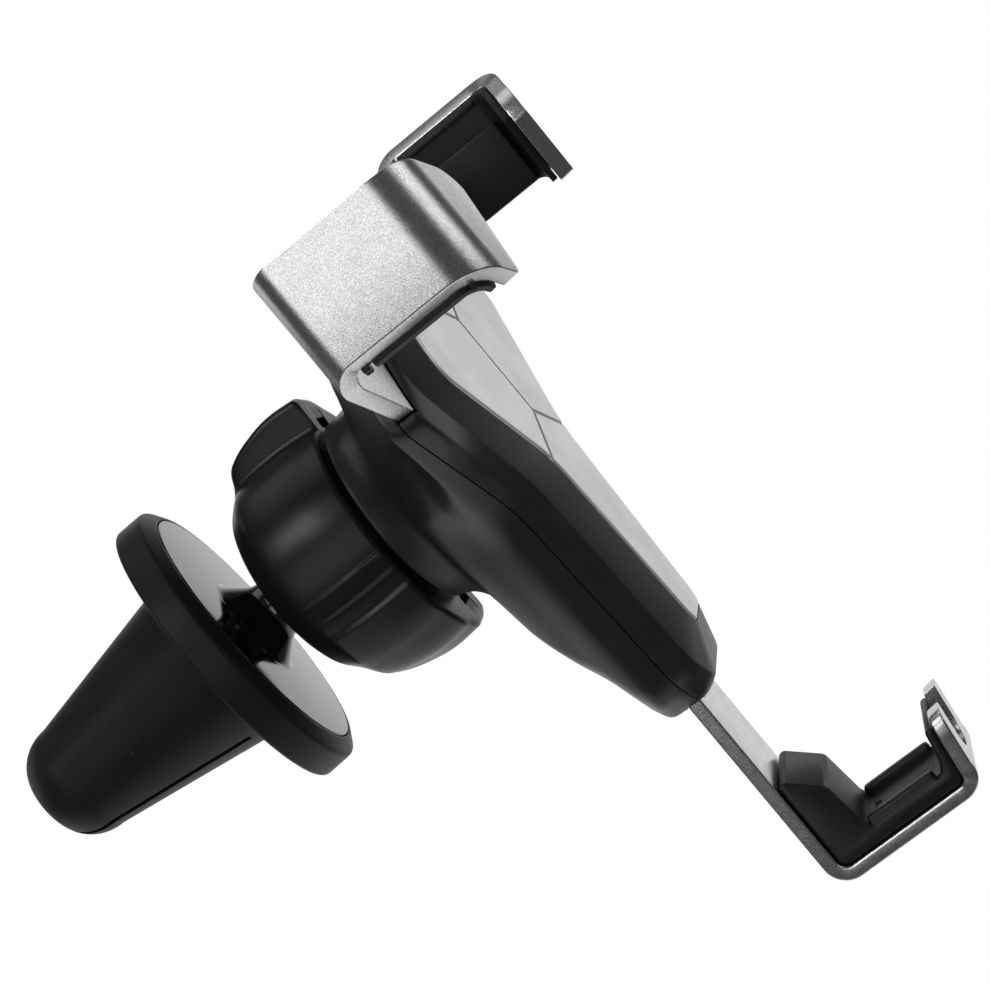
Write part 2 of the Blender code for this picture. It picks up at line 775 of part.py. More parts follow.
def build_clamp_nut(mat):
    rear = nut_front_y + nut_length
    throat = rear - nut_mouth_depth
    lug_end = nut_front_y + nut_lug_length
    mouth = nut_radius - nut_dome - nut_rim_width
    edge = 0.35
    outside = [
        (nut_radius - edge, nut_front_y, 0.95),
        (nut_radius, nut_front_y + edge, 1.0),
        (nut_radius + nut_swell, nut_front_y + nut_swell_y, 0.96),
        (nut_radius + nut_swell * 0.8, lug_end - nut_lug_fade, 0.72),
        (nut_radius + nut_swell * 0.3, lug_end - nut_lug_fade * 0.2, 0.5),
        (nut_radius - nut_dome * 0.06, lug_end + nut_lug_fade * 0.15, 0.12),
        (nut_radius - nut_dome * 0.3, rear - nut_dome * 0.5, 0.0),
        (nut_radius - nut_dome * 0.6, rear - nut_dome * 0.18, 0.0),
        (nut_radius - nut_dome, rear, 0.0),
    ]
    inside = [
        (mouth, rear, 0.0),
        (mouth - nut_throat_step, throat, 0.0),
        (nut_bore - 1.2, throat, 0.0),
        (nut_bore, throat - 1.0, 0.0),
        (nut_bore, nut_front_y + edge, 0.0),
        (nut_bore + edge, nut_front_y, 0.0),
    ]
    raised = {(round(r, 4), round(y, 4)): h for r, y, h in outside + inside}
    profile = [(r, y) for r, y, h in outside + inside]

    def radial(r, y, t):
        return r + nut_lug_rise * lug_height(t) * raised[(round(r, 4), round(y, 4))]

    mesh = lathe_mesh("clamp_nut", profile, 80, (0.0, 0.0, neck_z), radial)
    return place("clamp_nut", mesh, mat, (0.0, nut_front_y, neck_z))


def arm_stations():
    """Cross-sections of the right arm from the leg's inner end round to the lip's tip."""
    t = arm_thickness
    bx = arm_outer_x - arm_bend
    stations = []

    def leg_drop(x):
        return arm_slope * (arm_outer_x - x)

    def add(outer, inner, top, low):
        stations.append([(*outer, low), (*outer, top), (*inner, top), (*inner, low)])

    rear = arm_rear_y
    for k in range(5):
        x = arm_leg_end_x + (bx - arm_leg_end_x) * k / 4
        add((x, rear), (x, rear - t), arm_top_z - leg_drop(x), arm_bottom_rear_z - leg_drop(x))
    lead = leg_drop(bx)
    for k in range(1, 7):
        a = math.radians(90.0 - 90.0 * k / 6)
        c = (bx, rear - arm_bend)
        outer = (c[0] + arm_bend * math.cos(a), c[1] + arm_bend * math.sin(a))
        r = arm_bend - t
        inner = (c[0] + r * math.cos(a), c[1] + r * math.sin(a))
        fade = (1.0 - k / 6) ** 1.5
        add(outer, inner, arm_top_z - lead * fade, arm_bottom_rear_z - lead * fade)
    front = arm_front_y
    for k in range(1, 4):
        y = rear - arm_bend + (front + arm_bend - rear + arm_bend) * k / 3
        low = arm_bottom_rear_z + (arm_bottom_front_z - arm_bottom_rear_z) * k / 3
        add((arm_outer_x, y), (arm_outer_x - t, y), arm_top_z, low)
    for k in range(1, 7):
        a = math.radians(-90.0 * k / 6)
        c = (bx, front + arm_bend)
        outer = (c[0] + arm_bend * math.cos(a), c[1] + arm_bend * math.sin(a))
        r = arm_bend - t
        inner = (c[0] + r * math.cos(a), c[1] + r * math.sin(a))
        grow = (k / 6) ** 1.5
        add(outer, inner, arm_top_z - lead * grow, arm_bottom_front_z - lead * grow)
    tip = arm_outer_x - arm_lip_reach
    marks = [bx - 1.6]
    marks += [tip + arm_lip_round * (1.0 - math.sin(math.radians(90.0 * k / 6))) for k in range(7)]
    for x in marks:
        drop = arm_slope * (arm_outer_x - x)
        d = max(0.0, tip + arm_lip_round - x)
        rounding = arm_lip_round - math.sqrt(max(0.0, arm_lip_round**2 - d**2))
        rounding = min(rounding, arm_lip_round * 0.85)
        add((x, front), (x, front + t), arm_top_z - drop - rounding, arm_bottom_front_z - drop)
    return stations


def mirrored(stations, side):
    if side > 0:
        return stations
    return [[(-x, y, z) for x, y, z in four] for four in stations]


def build_arm(name, side, mat):
    mesh = strip_mesh(name, mirrored(arm_stations(), side))
    pivot = (side * (arm_outer_x - arm_thickness), 0.0, (arm_top_z + arm_bottom_rear_z) / 2)
    arm = place(name, mesh, mat, pivot)
    x = arm_leg_end_x + arm_pin_from_end
    hole = [(0.0, 1.0), (pin_radius + pin_gap, 1.0), (pin_radius + pin_gap, 7.0), (0.0, 7.0)]
    cut(arm, [cutter(lathe_mesh("hole", hole, 24, (side * x, 0.0, leg_middle(x))))])
    bevel(arm, arm_edge_bevel)
    return arm


def build_pin(name, side, mat):
    x = arm_leg_end_x + arm_pin_from_end
    front = arm_rear_y - arm_thickness + 0.05
    step = arm_rear_y + 0.12
    groove = pin_end_y - 0.35 - clip_ring_thickness - 0.05
    neck = pin_radius
    profile = [
        (0.0, front),
        (pin_radius - 0.2, front),
        (pin_radius, front + 0.2),
        (pin_radius, step),
        (pin_roller_radius, step),
        (pin_roller_radius, groove),
        (neck, groove),
        (neck, pin_end_y - 0.2),
        (neck - 0.2, pin_end_y),
        (0.0, pin_end_y),
    ]
    place_at = (side * x, 0.0, leg_middle(x))
    return place(name, lathe_mesh(name, profile, 20, place_at), mat, place_at)


def build_pin_clip(name, side, mat):
    x = arm_leg_end_x + arm_pin_from_end
    start = pin_end_y - 0.35 - clip_ring_thickness
    inner = pin_radius + 0.08
    profile = [(inner, start), (clip_ring_radius, start), (clip_ring_radius, start + clip_ring_thickness), (inner, start + clip_ring_thickness)]
    place_at = (side * x, 0.0, leg_middle(x))
    return place(name, lathe_mesh(name, profile, 20, place_at), mat, place_at)


def build_arm_pad(name, side, mat):
    """Rubber lining of an arm: wall sheet, raised grip block and the strip behind the lip."""
    gap = arm_pad_gap
    wall = arm_outer_x - arm_thickness - gap
    face = wall - arm_pad_thickness
    block = face - arm_pad_block
    front = arm_front_y + arm_thickness + gap
    strip = front + arm_pad_thickness + 0.35
    lip_end = arm_outer_x - arm_lip_reach + 1.3
    rear = arm_rear_y - arm_bend - 0.3

    def low_at(y):
        part = (rear - y) / (rear - arm_front_y)
        return arm_bottom_rear_z + (arm_bottom_front_z - arm_bottom_rear_z) * part - arm_pad_hang

    stations = []

    def add(outer, inner, drop, trim=0.0):
        top = arm_top_z - arm_pad_top_inset - drop - trim
        low_o = low_at(outer[1]) - drop + trim
        stations.append([(*outer, low_o), (*outer, top), (*inner, top), (*inner, low_o)])

    add((wall, rear), (face, rear), 0.0, 0.4)
    add((wall, rear - 0.6), (face, rear - 0.6), 0.0)
    add((wall, rear - 1.4), (face, rear - 1.4), 0.0)
    add((wall, rear - 1.6), (block, rear - 2.4), 0.0, 1.2)
    add((wall, -4.5), (block, -4.5), 0.0, 1.2)
    add((wall, front + 2.6), (block, front + 3.4), 0.0, 1.2)
    add((wall, front + 2.4), (face, front + 2.5), 0.0)
    add((wall, front + 0.5), (face, strip + 0.3), 0.2)
    add((wall - 0.5, front), (face - 0.6, strip), arm_slope * 2.6)
    for k in range(1, 4):
        x = (face - 0.6) + (lip_end - face + 0.6) * k / 3
        drop = arm_slope * (arm_outer_x - x)
        trim = (0.0, 0.0, 0.2, 1.6)[k]
        top = arm_top_z - arm_pad_top_inset - drop - trim
        low = arm_bottom_front_z - arm_pad_hang - drop
        stations.append([(x, front, low), (x, front, top), (x, strip, top), (x, strip, low)])
    mesh = strip_mesh(name, mirrored(stations, side))
    pivot = (side * wall, 0.0, (arm_top_z + arm_bottom_rear_z) / 2)
    pad = place(name, mesh, mat, pivot)
    bevel(pad, 0.15)
    return pad


def foot_profile():
    """Outer and inner points of the foot strip from its top end to the prong tips."""
    t = foot_thickness
    rear = foot_rear_y
    front = foot_front_y
    b = foot_bend
    pairs = [((rear, foot_top_z), (rear - t, foot_top_z)), ((rear, -20.0), (rear - t, -20.0))]
    pairs.append(((rear, foot_bottom_z + b), (rear - t, foot_bottom_z + b)))
    c = (rear - b, foot_bottom_z + b)
    for k in range(1, 7):
        a = math.radians(-90.0 * k / 6)
        pairs.append(((c[0] + b * math.cos(a), c[1] + b * math.sin(a)), (c[0] + (b - t) * math.cos(a), c[1] + (b - t) * math.sin(a))))
    c = (front + b, foot_bottom_z + b)
    lean = math.degrees(math.atan2(foot_lean, foot_tip_z - c[1]))
    for k in range(0, 7):
        a = math.radians(-90.0 - (90.0 + lean) * k / 6)
        pairs.append(((c[0] + b * math.cos(a), c[1] + b * math.sin(a)), (c[0] + (b - t) * math.cos(a), c[1] + (b - t) * math.sin(a))))
    a = math.radians(-180.0 - lean)
    outer = Vector(pairs[-1][0])
    inner = Vector(pairs[-1][1])
    run = Vector((-math.sin(math.radians(lean)), math.cos(math.radians(lean))))
    length = (foot_tip_z - outer.y) / run.y
    for part in (0.55, 0.86, 1.0):
        pairs.append((tuple(outer + run * length * part), tuple(inner + run * length * part)))
    return pairs


def build_foot(mat):
    pairs = foot_profile()
    stations = []
    count = len(pairs)
    half = foot_width / 2
    wide = foot_prong_width / 2
    for i, (outer, inner) in enumerate(pairs):
        left = count - 1 - i
        w = wide if left <= 7 else half
        if left == 0:
            w = wide - 1.1
        stations.append([(-w, *outer), (w, *outer), (w, *inner), (-w, *inner)])
    foot = place("foot_bracket", strip_mesh("foot_bracket", stations), mat, (0.0, foot_rear_y, neck_z))
    gap = foot_prong_gap / 2
    pts = arc((0.0, foot_notch_z + gap), gap, 180.0, 360.0, 12)
    pts += [(gap, foot_tip_z + 4.0), (-gap, foot_tip_z + 4.0)]
    cutters = [cutter(prism_mesh("notch", pts, foot_front_y - 4.0, foot_front_y + 4.0))]
    for z in rivet_heights():
        hole = [(0.0, 1.0), (rivet_radius + 0.1, 1.0), (rivet_radius + 0.1, 9.0), (0.0, 9.0)]
        cutters.append(cutter(lathe_mesh("hole", hole, 20, (0.0, 0.0, z))))
    cut(foot, cutters)
    bevel(foot, 0.3)
    return foot


def rivet_heights():
    return (foot_top_z - rivet_drop, foot_top_z - rivet_drop - rivet_pitch)


def build_foot_pad(mat):
    t = foot_thickness
    g = foot_pad_gap
    rear = foot_rear_y - t - g
    floor = foot_bottom_z + t + g
    front = foot_front_y + t + g
    r = foot_bend - t - g
    pts = [(rear, floor + r)]
    pts += arc((rear - r, floor + r), r, 0.0, -90.0, 4)[1:]
    pts += arc((front + r, floor + r), r, -90.0, -175.0, 4)
    lean = foot_lean / (foot_tip_z - foot_bottom_z - foot_bend)
    top = foot_tip_z - 1.2
    pts.append((front - lean * (top - floor - r) + 0.05, top))
    lining = front + foot_pad_lining
    root = foot_pad_root
    pts.append((lining - lean * (top - floor - r), top))
    pts.append((lining, foot_pad_floor_z + root))
    pts.append((lining + root * 0.4, foot_pad_floor_z + root * 0.3))
    pts.append((lining + root, foot_pad_floor_z))
    pts.append((foot_block_front - root * 0.5, foot_pad_floor_z))
    pts.append((foot_block_front, foot_pad_floor_z + root * 0.5))
    pts.append(foot_block_edge)
    pts.append(foot_block_shoulder)
    pts.append((rear, foot_block_shoulder[1] - 0.25))
    half = foot_pad_width / 2
    mesh = prism_mesh("foot_pad", pts, -half, half, axis="X")
    pad = place("foot_pad", mesh, mat, (0.0, foot_rear_y, foot_bottom_z))
    ribs = []
    w = foot_pad_rib_width
    for x in (-half + 0.2, half - 0.2 - w):
        low = (x, lining + root, foot_pad_floor_z - w / 2)
        rib = box_mesh("rib", low, (x + w, foot_block_front - root, foot_pad_rib_z))
        ribs.append(cutter(rib))
    for rib in ribs:
        mod = pad.modifiers.new("rib", "BOOLEAN")
        mod.operation = "UNION"
        mod.solver = "EXACT"
        mod.object = rib
    cut(pad, [])
    for rib in ribs:
        bpy.data.objects.remove(rib, do_unlink=True)
    bevel(pad, 0.25)
    return pad


def build_carriage(mat):
    x = arm_leg_end_x + arm_pin_from_end
    z = leg_middle(x)
    end = carriage_bar_end
    low = z - carriage_half_bar
    high = z + carriage_half_bar
    c = carriage_corner
    tongue = carriage_tongue_width / 2
    pts = [
        (tongue, low),
        (end - c, low),
        (end, low + c),
        (end, high - 1.0),
        (end - 1.0, high),
        (-end + 1.0, high),
        (-end, high - 1.0),
        (-end, low + c),
        (-end + c, low),
        (-tongue, low),
        (-tongue, carriage_tongue_z),
        (tongue, carriage_tongue_z),
    ]
    front = foot_rear_y + carriage_gap
    rear = front + carriage_thickness
    carriage = place("slide_carriage", prism_mesh("slide_carriage", pts, front, rear), mat, (0.0, front, z))
    half = carriage_ledge_width / 2
    ledge = cutter(box_mesh("ledge", (-half, front + 0.3, carriage_tongue_z), (half, rear + carriage_ledge_depth, carriage_tongue_z + carriage_ledge_height)))
    mod = carriage.modifiers.new("ledge", "BOOLEAN")
    mod.operation = "UNION"
    mod.solver = "EXACT"
    mod.object = ledge
    r = pin_roller_radius + slot_play
    inner = x - foot_travel / arm_slope - 0.25
    cutters = []
    for side in (-1, 1):
        a, b = sorted((side * inner, side * (x + 0.1)))
        pts = arc((b, z), r, -90.0, 90.0, 8) + arc((a, z), r, 90.0, 270.0, 8)
        if inner > r + 0.4:
            cutters.append(cutter(prism_mesh("slot", pts, 0.0, 20.0)))
    if not cutters:
        pts = arc((x + 0.1, z), r, -90.0, 90.0, 8) + arc((-x - 0.1, z), r, 90.0, 270.0, 8)
        cutters.append(cutter(prism_mesh("slot", pts, 0.0, 20.0)))
    for height in rivet_heights():
        hole = [(0.0, 1.0), (rivet_radius + 0.1, 1.0), (rivet_radius + 0.1, 12.0), (0.0, 12.0)]
        cutters.append(cutter(lathe_mesh("hole", hole, 20, (0.0, 0.0, height))))
    cut(carriage, cutters)
    bpy.data.objects.remove(ledge, do_unlink=True)
    return carriage


def build_rivets(mat):
    rear = foot_rear_y + carriage_gap + carriage_thickness + 0.08
    front = foot_rear_y - foot_thickness + 0.1
    for name, z in zip(("foot_rivet_upper", "foot_rivet_lower"), rivet_heights()):
        profile = [
            (0.0, front),
            (rivet_radius - 0.2, front),
            (rivet_radius, front + 0.2),
            (rivet_radius, rear),
            (rivet_head_radius, rear),
            (rivet_head_radius - 0.25, rear + rivet_head_height * 0.6),
            (rivet_head_radius - 1.0, rear + rivet_head_height),
            (0.0, rear + rivet_head_height),
        ]
        place_at = (0.0, 0.0, z)
        place(name, lathe_mesh(name, profile, 24, place_at), mat, place_at)


def build_spring(mat):
    low = spring_seat_z + spring_wire + spring_gap
    high = carriage_tongue_z - spring_wire - spring_gap
    steps = 12
    total = spring_turns * steps
    rings = []
    centre_y = spring_y()
    for i in range(total + 1):
        part = i / total
        ease = min(1.0, max(0.0, (part * spring_turns - 0.8) / (spring_turns - 1.6)))
        t = 2.0 * math.pi * spring_turns * part
        z = low + 0.62 + (high - low - 1.24) * ease
        if part * spring_turns < 0.8:
            z = low + 0.62 * (part * spring_turns / 0.8)
        if part * spring_turns > spring_turns - 0.8:
            z = high - 0.62 * ((1.0 - part) * spring_turns / 0.8)
        middle = Vector((spring_radius * math.cos(t), centre_y + spring_radius * math.sin(t), z))
        out = Vector((math.cos(t), math.sin(t), 0.0))
        up = Vector((0.0, 0.0, 1.0))
        ring = []
        for k in range(5):
            a = 2.0 * math.pi * k / 5
            ring.append(middle + (out * math.cos(a) + up * math.sin(a)) * spring_wire)
        rings.append(ring)
    place_at = (0.0, centre_y, spring_seat_z)
    return place("return_spring", rings_mesh("return_spring", rings), mat, place_at, smooth=70.0)


def build_spring_post(mat):
    profile = [
        (0.0, -1.8),
        (post_radius, -1.8),
        (post_radius, post_length - 0.5),
        (post_radius - 0.4, post_length),
        (0.0, post_length),
    ]
    mesh = lathe_mesh("spring_post", profile, 24, (0.0, 0.0, 0.0))
    mesh.transform(Matrix.Rotation(math.radians(90.0), 4, "X"))
    place_at = (0.0, spring_y(), spring_seat_z)
    mesh.transform(Matrix.Translation(place_at))
    return place("spring_post", mesh, mat, place_at)


def main():
    clear_scene()
    alloy = material("anodised_aluminium", (0.62, 0.62, 0.63), 1.0, 0.4)
    silver = material("satin_silver_plate", (0.52, 0.52, 0.53), 0.7, 0.35)
    housing = material("matt_black_abs", (0.02, 0.02, 0.021), 0.0, 0.5)
    black = material("satin_black_abs", (0.012, 0.012, 0.012), 0.0, 0.3)
    rubber = material("black_silicone", (0.015, 0.015, 0.015), 0.0, 0.6)
    steel = material("zinc_plated_steel", (0.55, 0.56, 0.58), 1.0, 0.3)
    nylon = material("natural_acetal", (0.75, 0.74, 0.7), 0.0, 0.4)
    build_vent_plug(rubber.copy())
    build_ball_stud(black.copy())
    build_friction_pad(nylon.copy())
    build_compression_ring(nylon.copy())
    build_rear_shell(housing.copy())
    build_front_shell(housing.copy())
    build_face_plate(silver.copy())
    build_clamp_nut(black.copy())
    build_screws(steel)
    for name, side in (("left", -1), ("right", 1)):
        build_arm(name + "_arm", side, alloy.copy())
        build_arm_pad(name + "_arm_pad", side, rubber.copy())
        build_pin(name + "_arm_pin", side, steel.copy())
        build_pin_clip(name + "_pin_clip", side, steel.copy())
    build_carriage(nylon.copy())
    build_foot(alloy.copy())
    build_foot_pad(rubber.copy())
    build_rivets(steel)
    build_spring(steel.copy())
    build_spring_post(steel.copy())


main()
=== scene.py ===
from math import asin, atan, atan2, cos, degrees, pi, radians, sin, sqrt, tan

import bmesh
import bpy
from mathutils import Matrix, Vector


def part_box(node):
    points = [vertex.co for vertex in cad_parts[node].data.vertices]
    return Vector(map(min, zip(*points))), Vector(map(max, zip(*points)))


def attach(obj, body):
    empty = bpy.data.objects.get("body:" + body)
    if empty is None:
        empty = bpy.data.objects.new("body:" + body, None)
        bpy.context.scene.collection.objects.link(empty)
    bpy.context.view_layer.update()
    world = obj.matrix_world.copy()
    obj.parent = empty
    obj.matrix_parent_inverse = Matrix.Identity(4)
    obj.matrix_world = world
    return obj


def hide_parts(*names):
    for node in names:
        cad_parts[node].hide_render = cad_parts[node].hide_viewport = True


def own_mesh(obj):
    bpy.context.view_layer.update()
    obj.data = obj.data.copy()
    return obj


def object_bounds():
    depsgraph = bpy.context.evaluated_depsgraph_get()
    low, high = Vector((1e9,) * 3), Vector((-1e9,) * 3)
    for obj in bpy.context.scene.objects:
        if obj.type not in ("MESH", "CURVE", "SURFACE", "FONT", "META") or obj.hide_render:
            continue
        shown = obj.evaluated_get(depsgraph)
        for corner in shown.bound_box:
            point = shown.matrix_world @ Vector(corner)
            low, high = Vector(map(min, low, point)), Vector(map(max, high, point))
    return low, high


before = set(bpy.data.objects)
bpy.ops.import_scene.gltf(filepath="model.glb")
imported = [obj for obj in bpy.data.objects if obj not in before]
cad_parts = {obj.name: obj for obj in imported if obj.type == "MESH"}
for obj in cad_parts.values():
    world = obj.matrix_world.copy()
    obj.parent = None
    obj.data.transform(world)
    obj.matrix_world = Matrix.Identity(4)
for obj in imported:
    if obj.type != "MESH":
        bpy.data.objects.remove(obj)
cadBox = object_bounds()
print("frame loaded:", len(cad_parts), "nodes")

# Every piece is drawn in millimetres in the housing's own space: X across, Y to the vent, Z up,
# the face plate's front on Y = 0 and its waist on Z = 0. The clip is drawn round its own axis.
ballJoint = {
    "radius": 7.5,
    "height": 5.6,  # ball centre over the waist
    "ringFront": 1.0,  # the rear ring's front, behind the ball centre
    "cupOuter": 8.22,
    "socketGap": 0.2,
    "socketWall": 1.7,
}
ringLow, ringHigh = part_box("compression_ring")
ballPlace = (ringLow + ringHigh) / 2
ballPlace.y = ringLow.y - ballJoint["ringFront"] / 1000
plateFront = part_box("face_plate")[0].y
housingZero = Vector((ballPlace.x, plateFront, ballPlace.z - ballJoint["height"] / 1000))
ballY = (ballPlace.y - plateFront) * 1000
toFrame = Matrix.Translation(housingZero) @ Matrix.Scale(0.001, 4)
clipAxis = -ballPlace.normalized()  # the frame's origin lies on the plug's axis
clipSwivel = atan2(-clipAxis.x, clipAxis.y)
clipTurn = Matrix.Rotation(clipSwivel, 4, "Z") @ Matrix.Rotation(asin(clipAxis.z), 4, "X")
clipToFrame = Matrix.Translation(ballPlace) @ clipTurn @ Matrix.Scale(0.001, 4)


def softLine(points, setbacks, steps=4, closed=False):  # a line with its corners rounded off
    points = [Vector(p) for p in points]
    count = len(points)
    line = []
    for i, corner in enumerate(points):
        setback = setbacks[i] if isinstance(setbacks, (list, tuple)) else setbacks
        if setback <= 0 or (not closed and i in (0, count - 1)):
            line.append(corner.copy())
            continue
        back = points[i - 1] - corner
        ahead = points[(i + 1) % count] - corner
        a = corner + back.normalized() * min(setback, back.length * 0.49)
        b = corner + ahead.normalized() * min(setback, ahead.length * 0.49)
        for k in range(steps + 1):
            t = k / steps
            line.append(a * (1 - t) ** 2 + corner * 2 * t * (1 - t) + b * t * t)
    return line


def softProfile(corners, steps):  # ((radius, y), rounding) corners as a rounded (radius, y) line
    line = softLine([(r, y, 0) for (r, y), s in corners], [s for p, s in corners], steps)
    return [(p.x, p.y) for p in line]


def arcPoints(centre, radius, start, end, steps):
    angles = [radians(start + (end - start) * k / steps) for k in range(steps + 1)]
    return [(centre[0] + radius * cos(a), centre[1] + radius * sin(a)) for a in angles]


def smoothStep(t):
    t = min(1.0, max(0.0, t))
    return t * t * (3 - 2 * t)


def newObject(name, data):
    item = bpy.data.objects.new(name, data)
    bpy.context.scene.collection.objects.link(item)
    return item


def meshPiece(name, bm, sharpAngle=30.0):
    bmesh.ops.recalc_face_normals(bm, faces=bm.faces[:])
    mesh = bpy.data.meshes.new(name)
    bm.to_mesh(mesh)
    bm.free()
    piece = newObject(name, mesh)
    shade(piece, sharpAngle)
    return piece


def shade(piece, sharpAngle=30.0):
    piece.data.shade_smooth()
    piece.data.set_sharp_from_angle(angle=radians(sharpAngle))


def skin(name, rings, sideOf=None):  # a surface through equal rings, with end faces
    bm = bmesh.new()
    loops = [[bm.verts.new(p) for p in ring] for ring in rings]
    count = len(loops[0])
    for a, b in zip(loops, loops[1:]):
        for i in range(count):
            j = (i + 1) % count
            face = bm.faces.new((a[i], a[j], b[j], b[i]))
            face.material_index = sideOf(i) if sideOf else 0
    for end in (list(reversed(loops[0])), loops[-1]):
        bm.faces.new(end).material_index = 1 if sideOf else 0
    return meshPiece(name, bm)


def turned(name, profile, steps, centre=(0, 0, 0), shape=None, sharpAngle=30.0):  # (radius, y) points round Y
    bm = bmesh.new()
    loops = []
    for r, y in profile:
        if r <= 1e-6:
            loops.append([bm.verts.new((centre[0], centre[1] + y, centre[2]))])
            continue
        loop = []
        for i in range(steps):
            t = 2 * pi * i / steps
            out = shape(r, y, t) if shape else r
            loop.append(bm.verts.new((centre[0] + out * cos(t), centre[1] + y, centre[2] + out * sin(t))))
        loops.append(loop)
    pairs = list(zip(loops, loops[1:]))
    if len(loops[0]) > 1 and len(loops[-1]) > 1:
        pairs.append((loops[-1], loops[0]))
    for a, b in pairs:
        for i in range(steps):
            j = (i + 1) % steps
            if len(a) == 1:
                bm.faces.new((a[0], b[j], b[i]))
            elif len(b) == 1:
                bm.faces.new((a[i], a[j], b[0]))
            else:
                bm.faces.new((a[i], a[j], b[j], b[i]))
    return meshPiece(name, bm, sharpAngle)


def slab(name, outline, low, high, axis="Y"):  # a flat outline given thickness
    def at(p, level):
        return (p[0], level, p[1]) if axis == "Y" else (level, p[0], p[1])

    bm = bmesh.new()
    a = [bm.verts.new(at(p, low)) for p in outline]
    b = [bm.verts.new(at(p, high)) for p in outline]
    bm.faces.new(a)
    bm.faces.new(list(reversed(b)))
    for i in range(len(a)):
        j = (i + 1) % len(a)
        bm.faces.new((a[j], a[i], b[i], b[j]))
    return meshPiece(name, bm)


def block(name, low, high):
    (x, y, z), (farX, farY, farZ) = low, high
    return slab(name, [(x, z), (farX, z), (farX, farZ), (x, farZ)], y, farY)


def placed(piece, angle, axis="Y", at=(0, 0, 0)):  # turned round an axis through the origin, then moved
    piece.data.transform(Matrix.Translation(at) @ Matrix.Rotation(radians(angle), 4, axis))
    return piece


def settle(piece):  # turns the modifiers' result into the piece's own mesh
    deps = bpy.context.evaluated_depsgraph_get()
    mesh = bpy.data.meshes.new_from_object(piece.evaluated_get(deps))
    piece.modifiers.clear()
    piece.data = mesh
    return piece


def carve(piece, tools, operation="DIFFERENCE", sharpAngle=30.0):
    for tool in tools:
        change = piece.modifiers.new("carve", "BOOLEAN")
        change.operation = operation
        change.solver = "EXACT"
        change.object = tool
    settle(piece)
    for tool in tools:
        bpy.data.objects.remove(tool, do_unlink=True)
    shade(piece, sharpAngle)


def easeEdges(piece, width, segments=3, angle=35.0):
    change = piece.modifiers.new("ease", "BEVEL")
    change.width = width
    change.segments = segments
    change.limit_method = "ANGLE"
    change.angle_limit = radians(angle)
    change.use_clamp_overlap = True
    change.harden_normals = True
    piece.data.shade_smooth()
    return settle(piece)


def finishPiece(piece, body, looks, slot, *others, place=toFrame):  # the slot is named after a node it replaces
    piece.data.transform(place)
    piece.data.materials.clear()
    for look in looks:
        piece.data.materials.append(finishes[look])
    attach(piece, body)
    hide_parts(slot, *others)


# Every grain is a noise in the piece's own metres, so that it keeps its size in millimetres.
def linearTone(value):
    return value / 12.92 if value <= 0.04045 else ((value + 0.055) / 1.055) ** 2.4


def colour(text):  # sRGB hex to linear
    return tuple(linearTone(int(text[i : i + 2], 16) / 255) for i in (1, 3, 5)) + (1.0,)


def addNode(tree, kind, settings=None, links=None):
    node = tree.nodes.new(kind)
    for key, value in (settings or {}).items():
        if isinstance(key, str) and hasattr(node, key):
            setattr(node, key, value)
        else:
            node.inputs[key].default_value = value
    for key, source in (links or {}).items():
        tree.links.new(source, node.inputs[key])
    return node


def perMetre(millimetres):  # noise scale for a grain of that size
    return 1000.0 / millimetres


def newFinish(name, look):
    finish = bpy.data.materials.new(name)
    finish.use_nodes = True
    tree = finish.node_tree
    shader = tree.nodes["Principled BSDF"]
    for key, value in look.items():
        shader.inputs[key].default_value = value
    place = addNode(tree, "ShaderNodeTexCoord").outputs["Object"]
    return finish, tree, shader, place


def grain(tree, place, size, detail):
    settings = {"Scale": perMetre(size), "Detail": detail}
    return addNode(tree, "ShaderNodeTexNoise", settings, {"Vector": place}).outputs["Fac"]


def spread(tree, source, low, high, fromLow=0.3, fromHigh=0.7):
    settings = {"From Min": fromLow, "From Max": fromHigh, "To Min": low, "To Max": high}
    return addNode(tree, "ShaderNodeMapRange", settings, {"Value": source}).outputs["Result"]


def maths(tree, operation, a, b):
    return addNode(tree, "ShaderNodeMath", {"operation": operation}, {0: a, 1: b}).outputs[0]


def mixColours(tree, factor, look):  # from a look's dark colour to its light one
    settings = {"data_type": "RGBA", 6: colour(look["dark"]), 7: colour(look["light"])}
    return addNode(tree, "ShaderNodeMix", settings, {0: factor}).outputs[2]


def bump(tree, height, strength, depth):
    settings = {"Strength": strength, "Distance": depth / 1000}
    return addNode(tree, "ShaderNodeBump", settings, {"Height": height}).outputs["Normal"]


def dress(tree, shader, base, roughness, normal):
    for key, source in (("Base Color", base), ("Roughness", roughness), ("Normal", normal)):
        tree.links.new(source, shader.inputs[key])


blasted = {  # bead-blasted, anodised aluminium: bright grit that sparkles, with broad soft reflections
    "shader": {"Metallic": 1.0}, "dark": "#B8B8BA", "light": "#E6E6E7", "tint": "fine", "contrast": (0.35, 0.65),
    "fine": (0.1, 1.0),  # the real grit is finer, and is drawn coarser to show
    "broad": (1.5, 2.0), "roughness": (0.22, 0.27), "relief": (0.3, 0.04),
}
milled = {  # the strip's cut edge, anodised after blasting: smoother and greyer than the faces
    "shader": {"Metallic": 1.0}, "dark": "#A2A2A4", "light": "#B6B6B8", "tint": "fine", "contrast": (0.0, 1.0),
    "fine": (0.14, 1.0), "broad": (0.14, 1.0), "roughness": (0.26, 0.34), "relief": (0.1, 0.01),
}
lacquer = {  # satin silver lacquer with fine flake: nearly even from a distance
    "shader": {"Metallic": 0.75, "Coat Weight": 0.25, "Coat Roughness": 0.3}, "dark": "#CACACC", "light": "#E0E0E2",
    "tint": "fine", "contrast": (0.0, 1.0), "fine": (0.09, 1.0), "broad": (6.0, 2.0), "roughness": (0.3, 0.38),
    "relief": (0.1, 0.01),
}
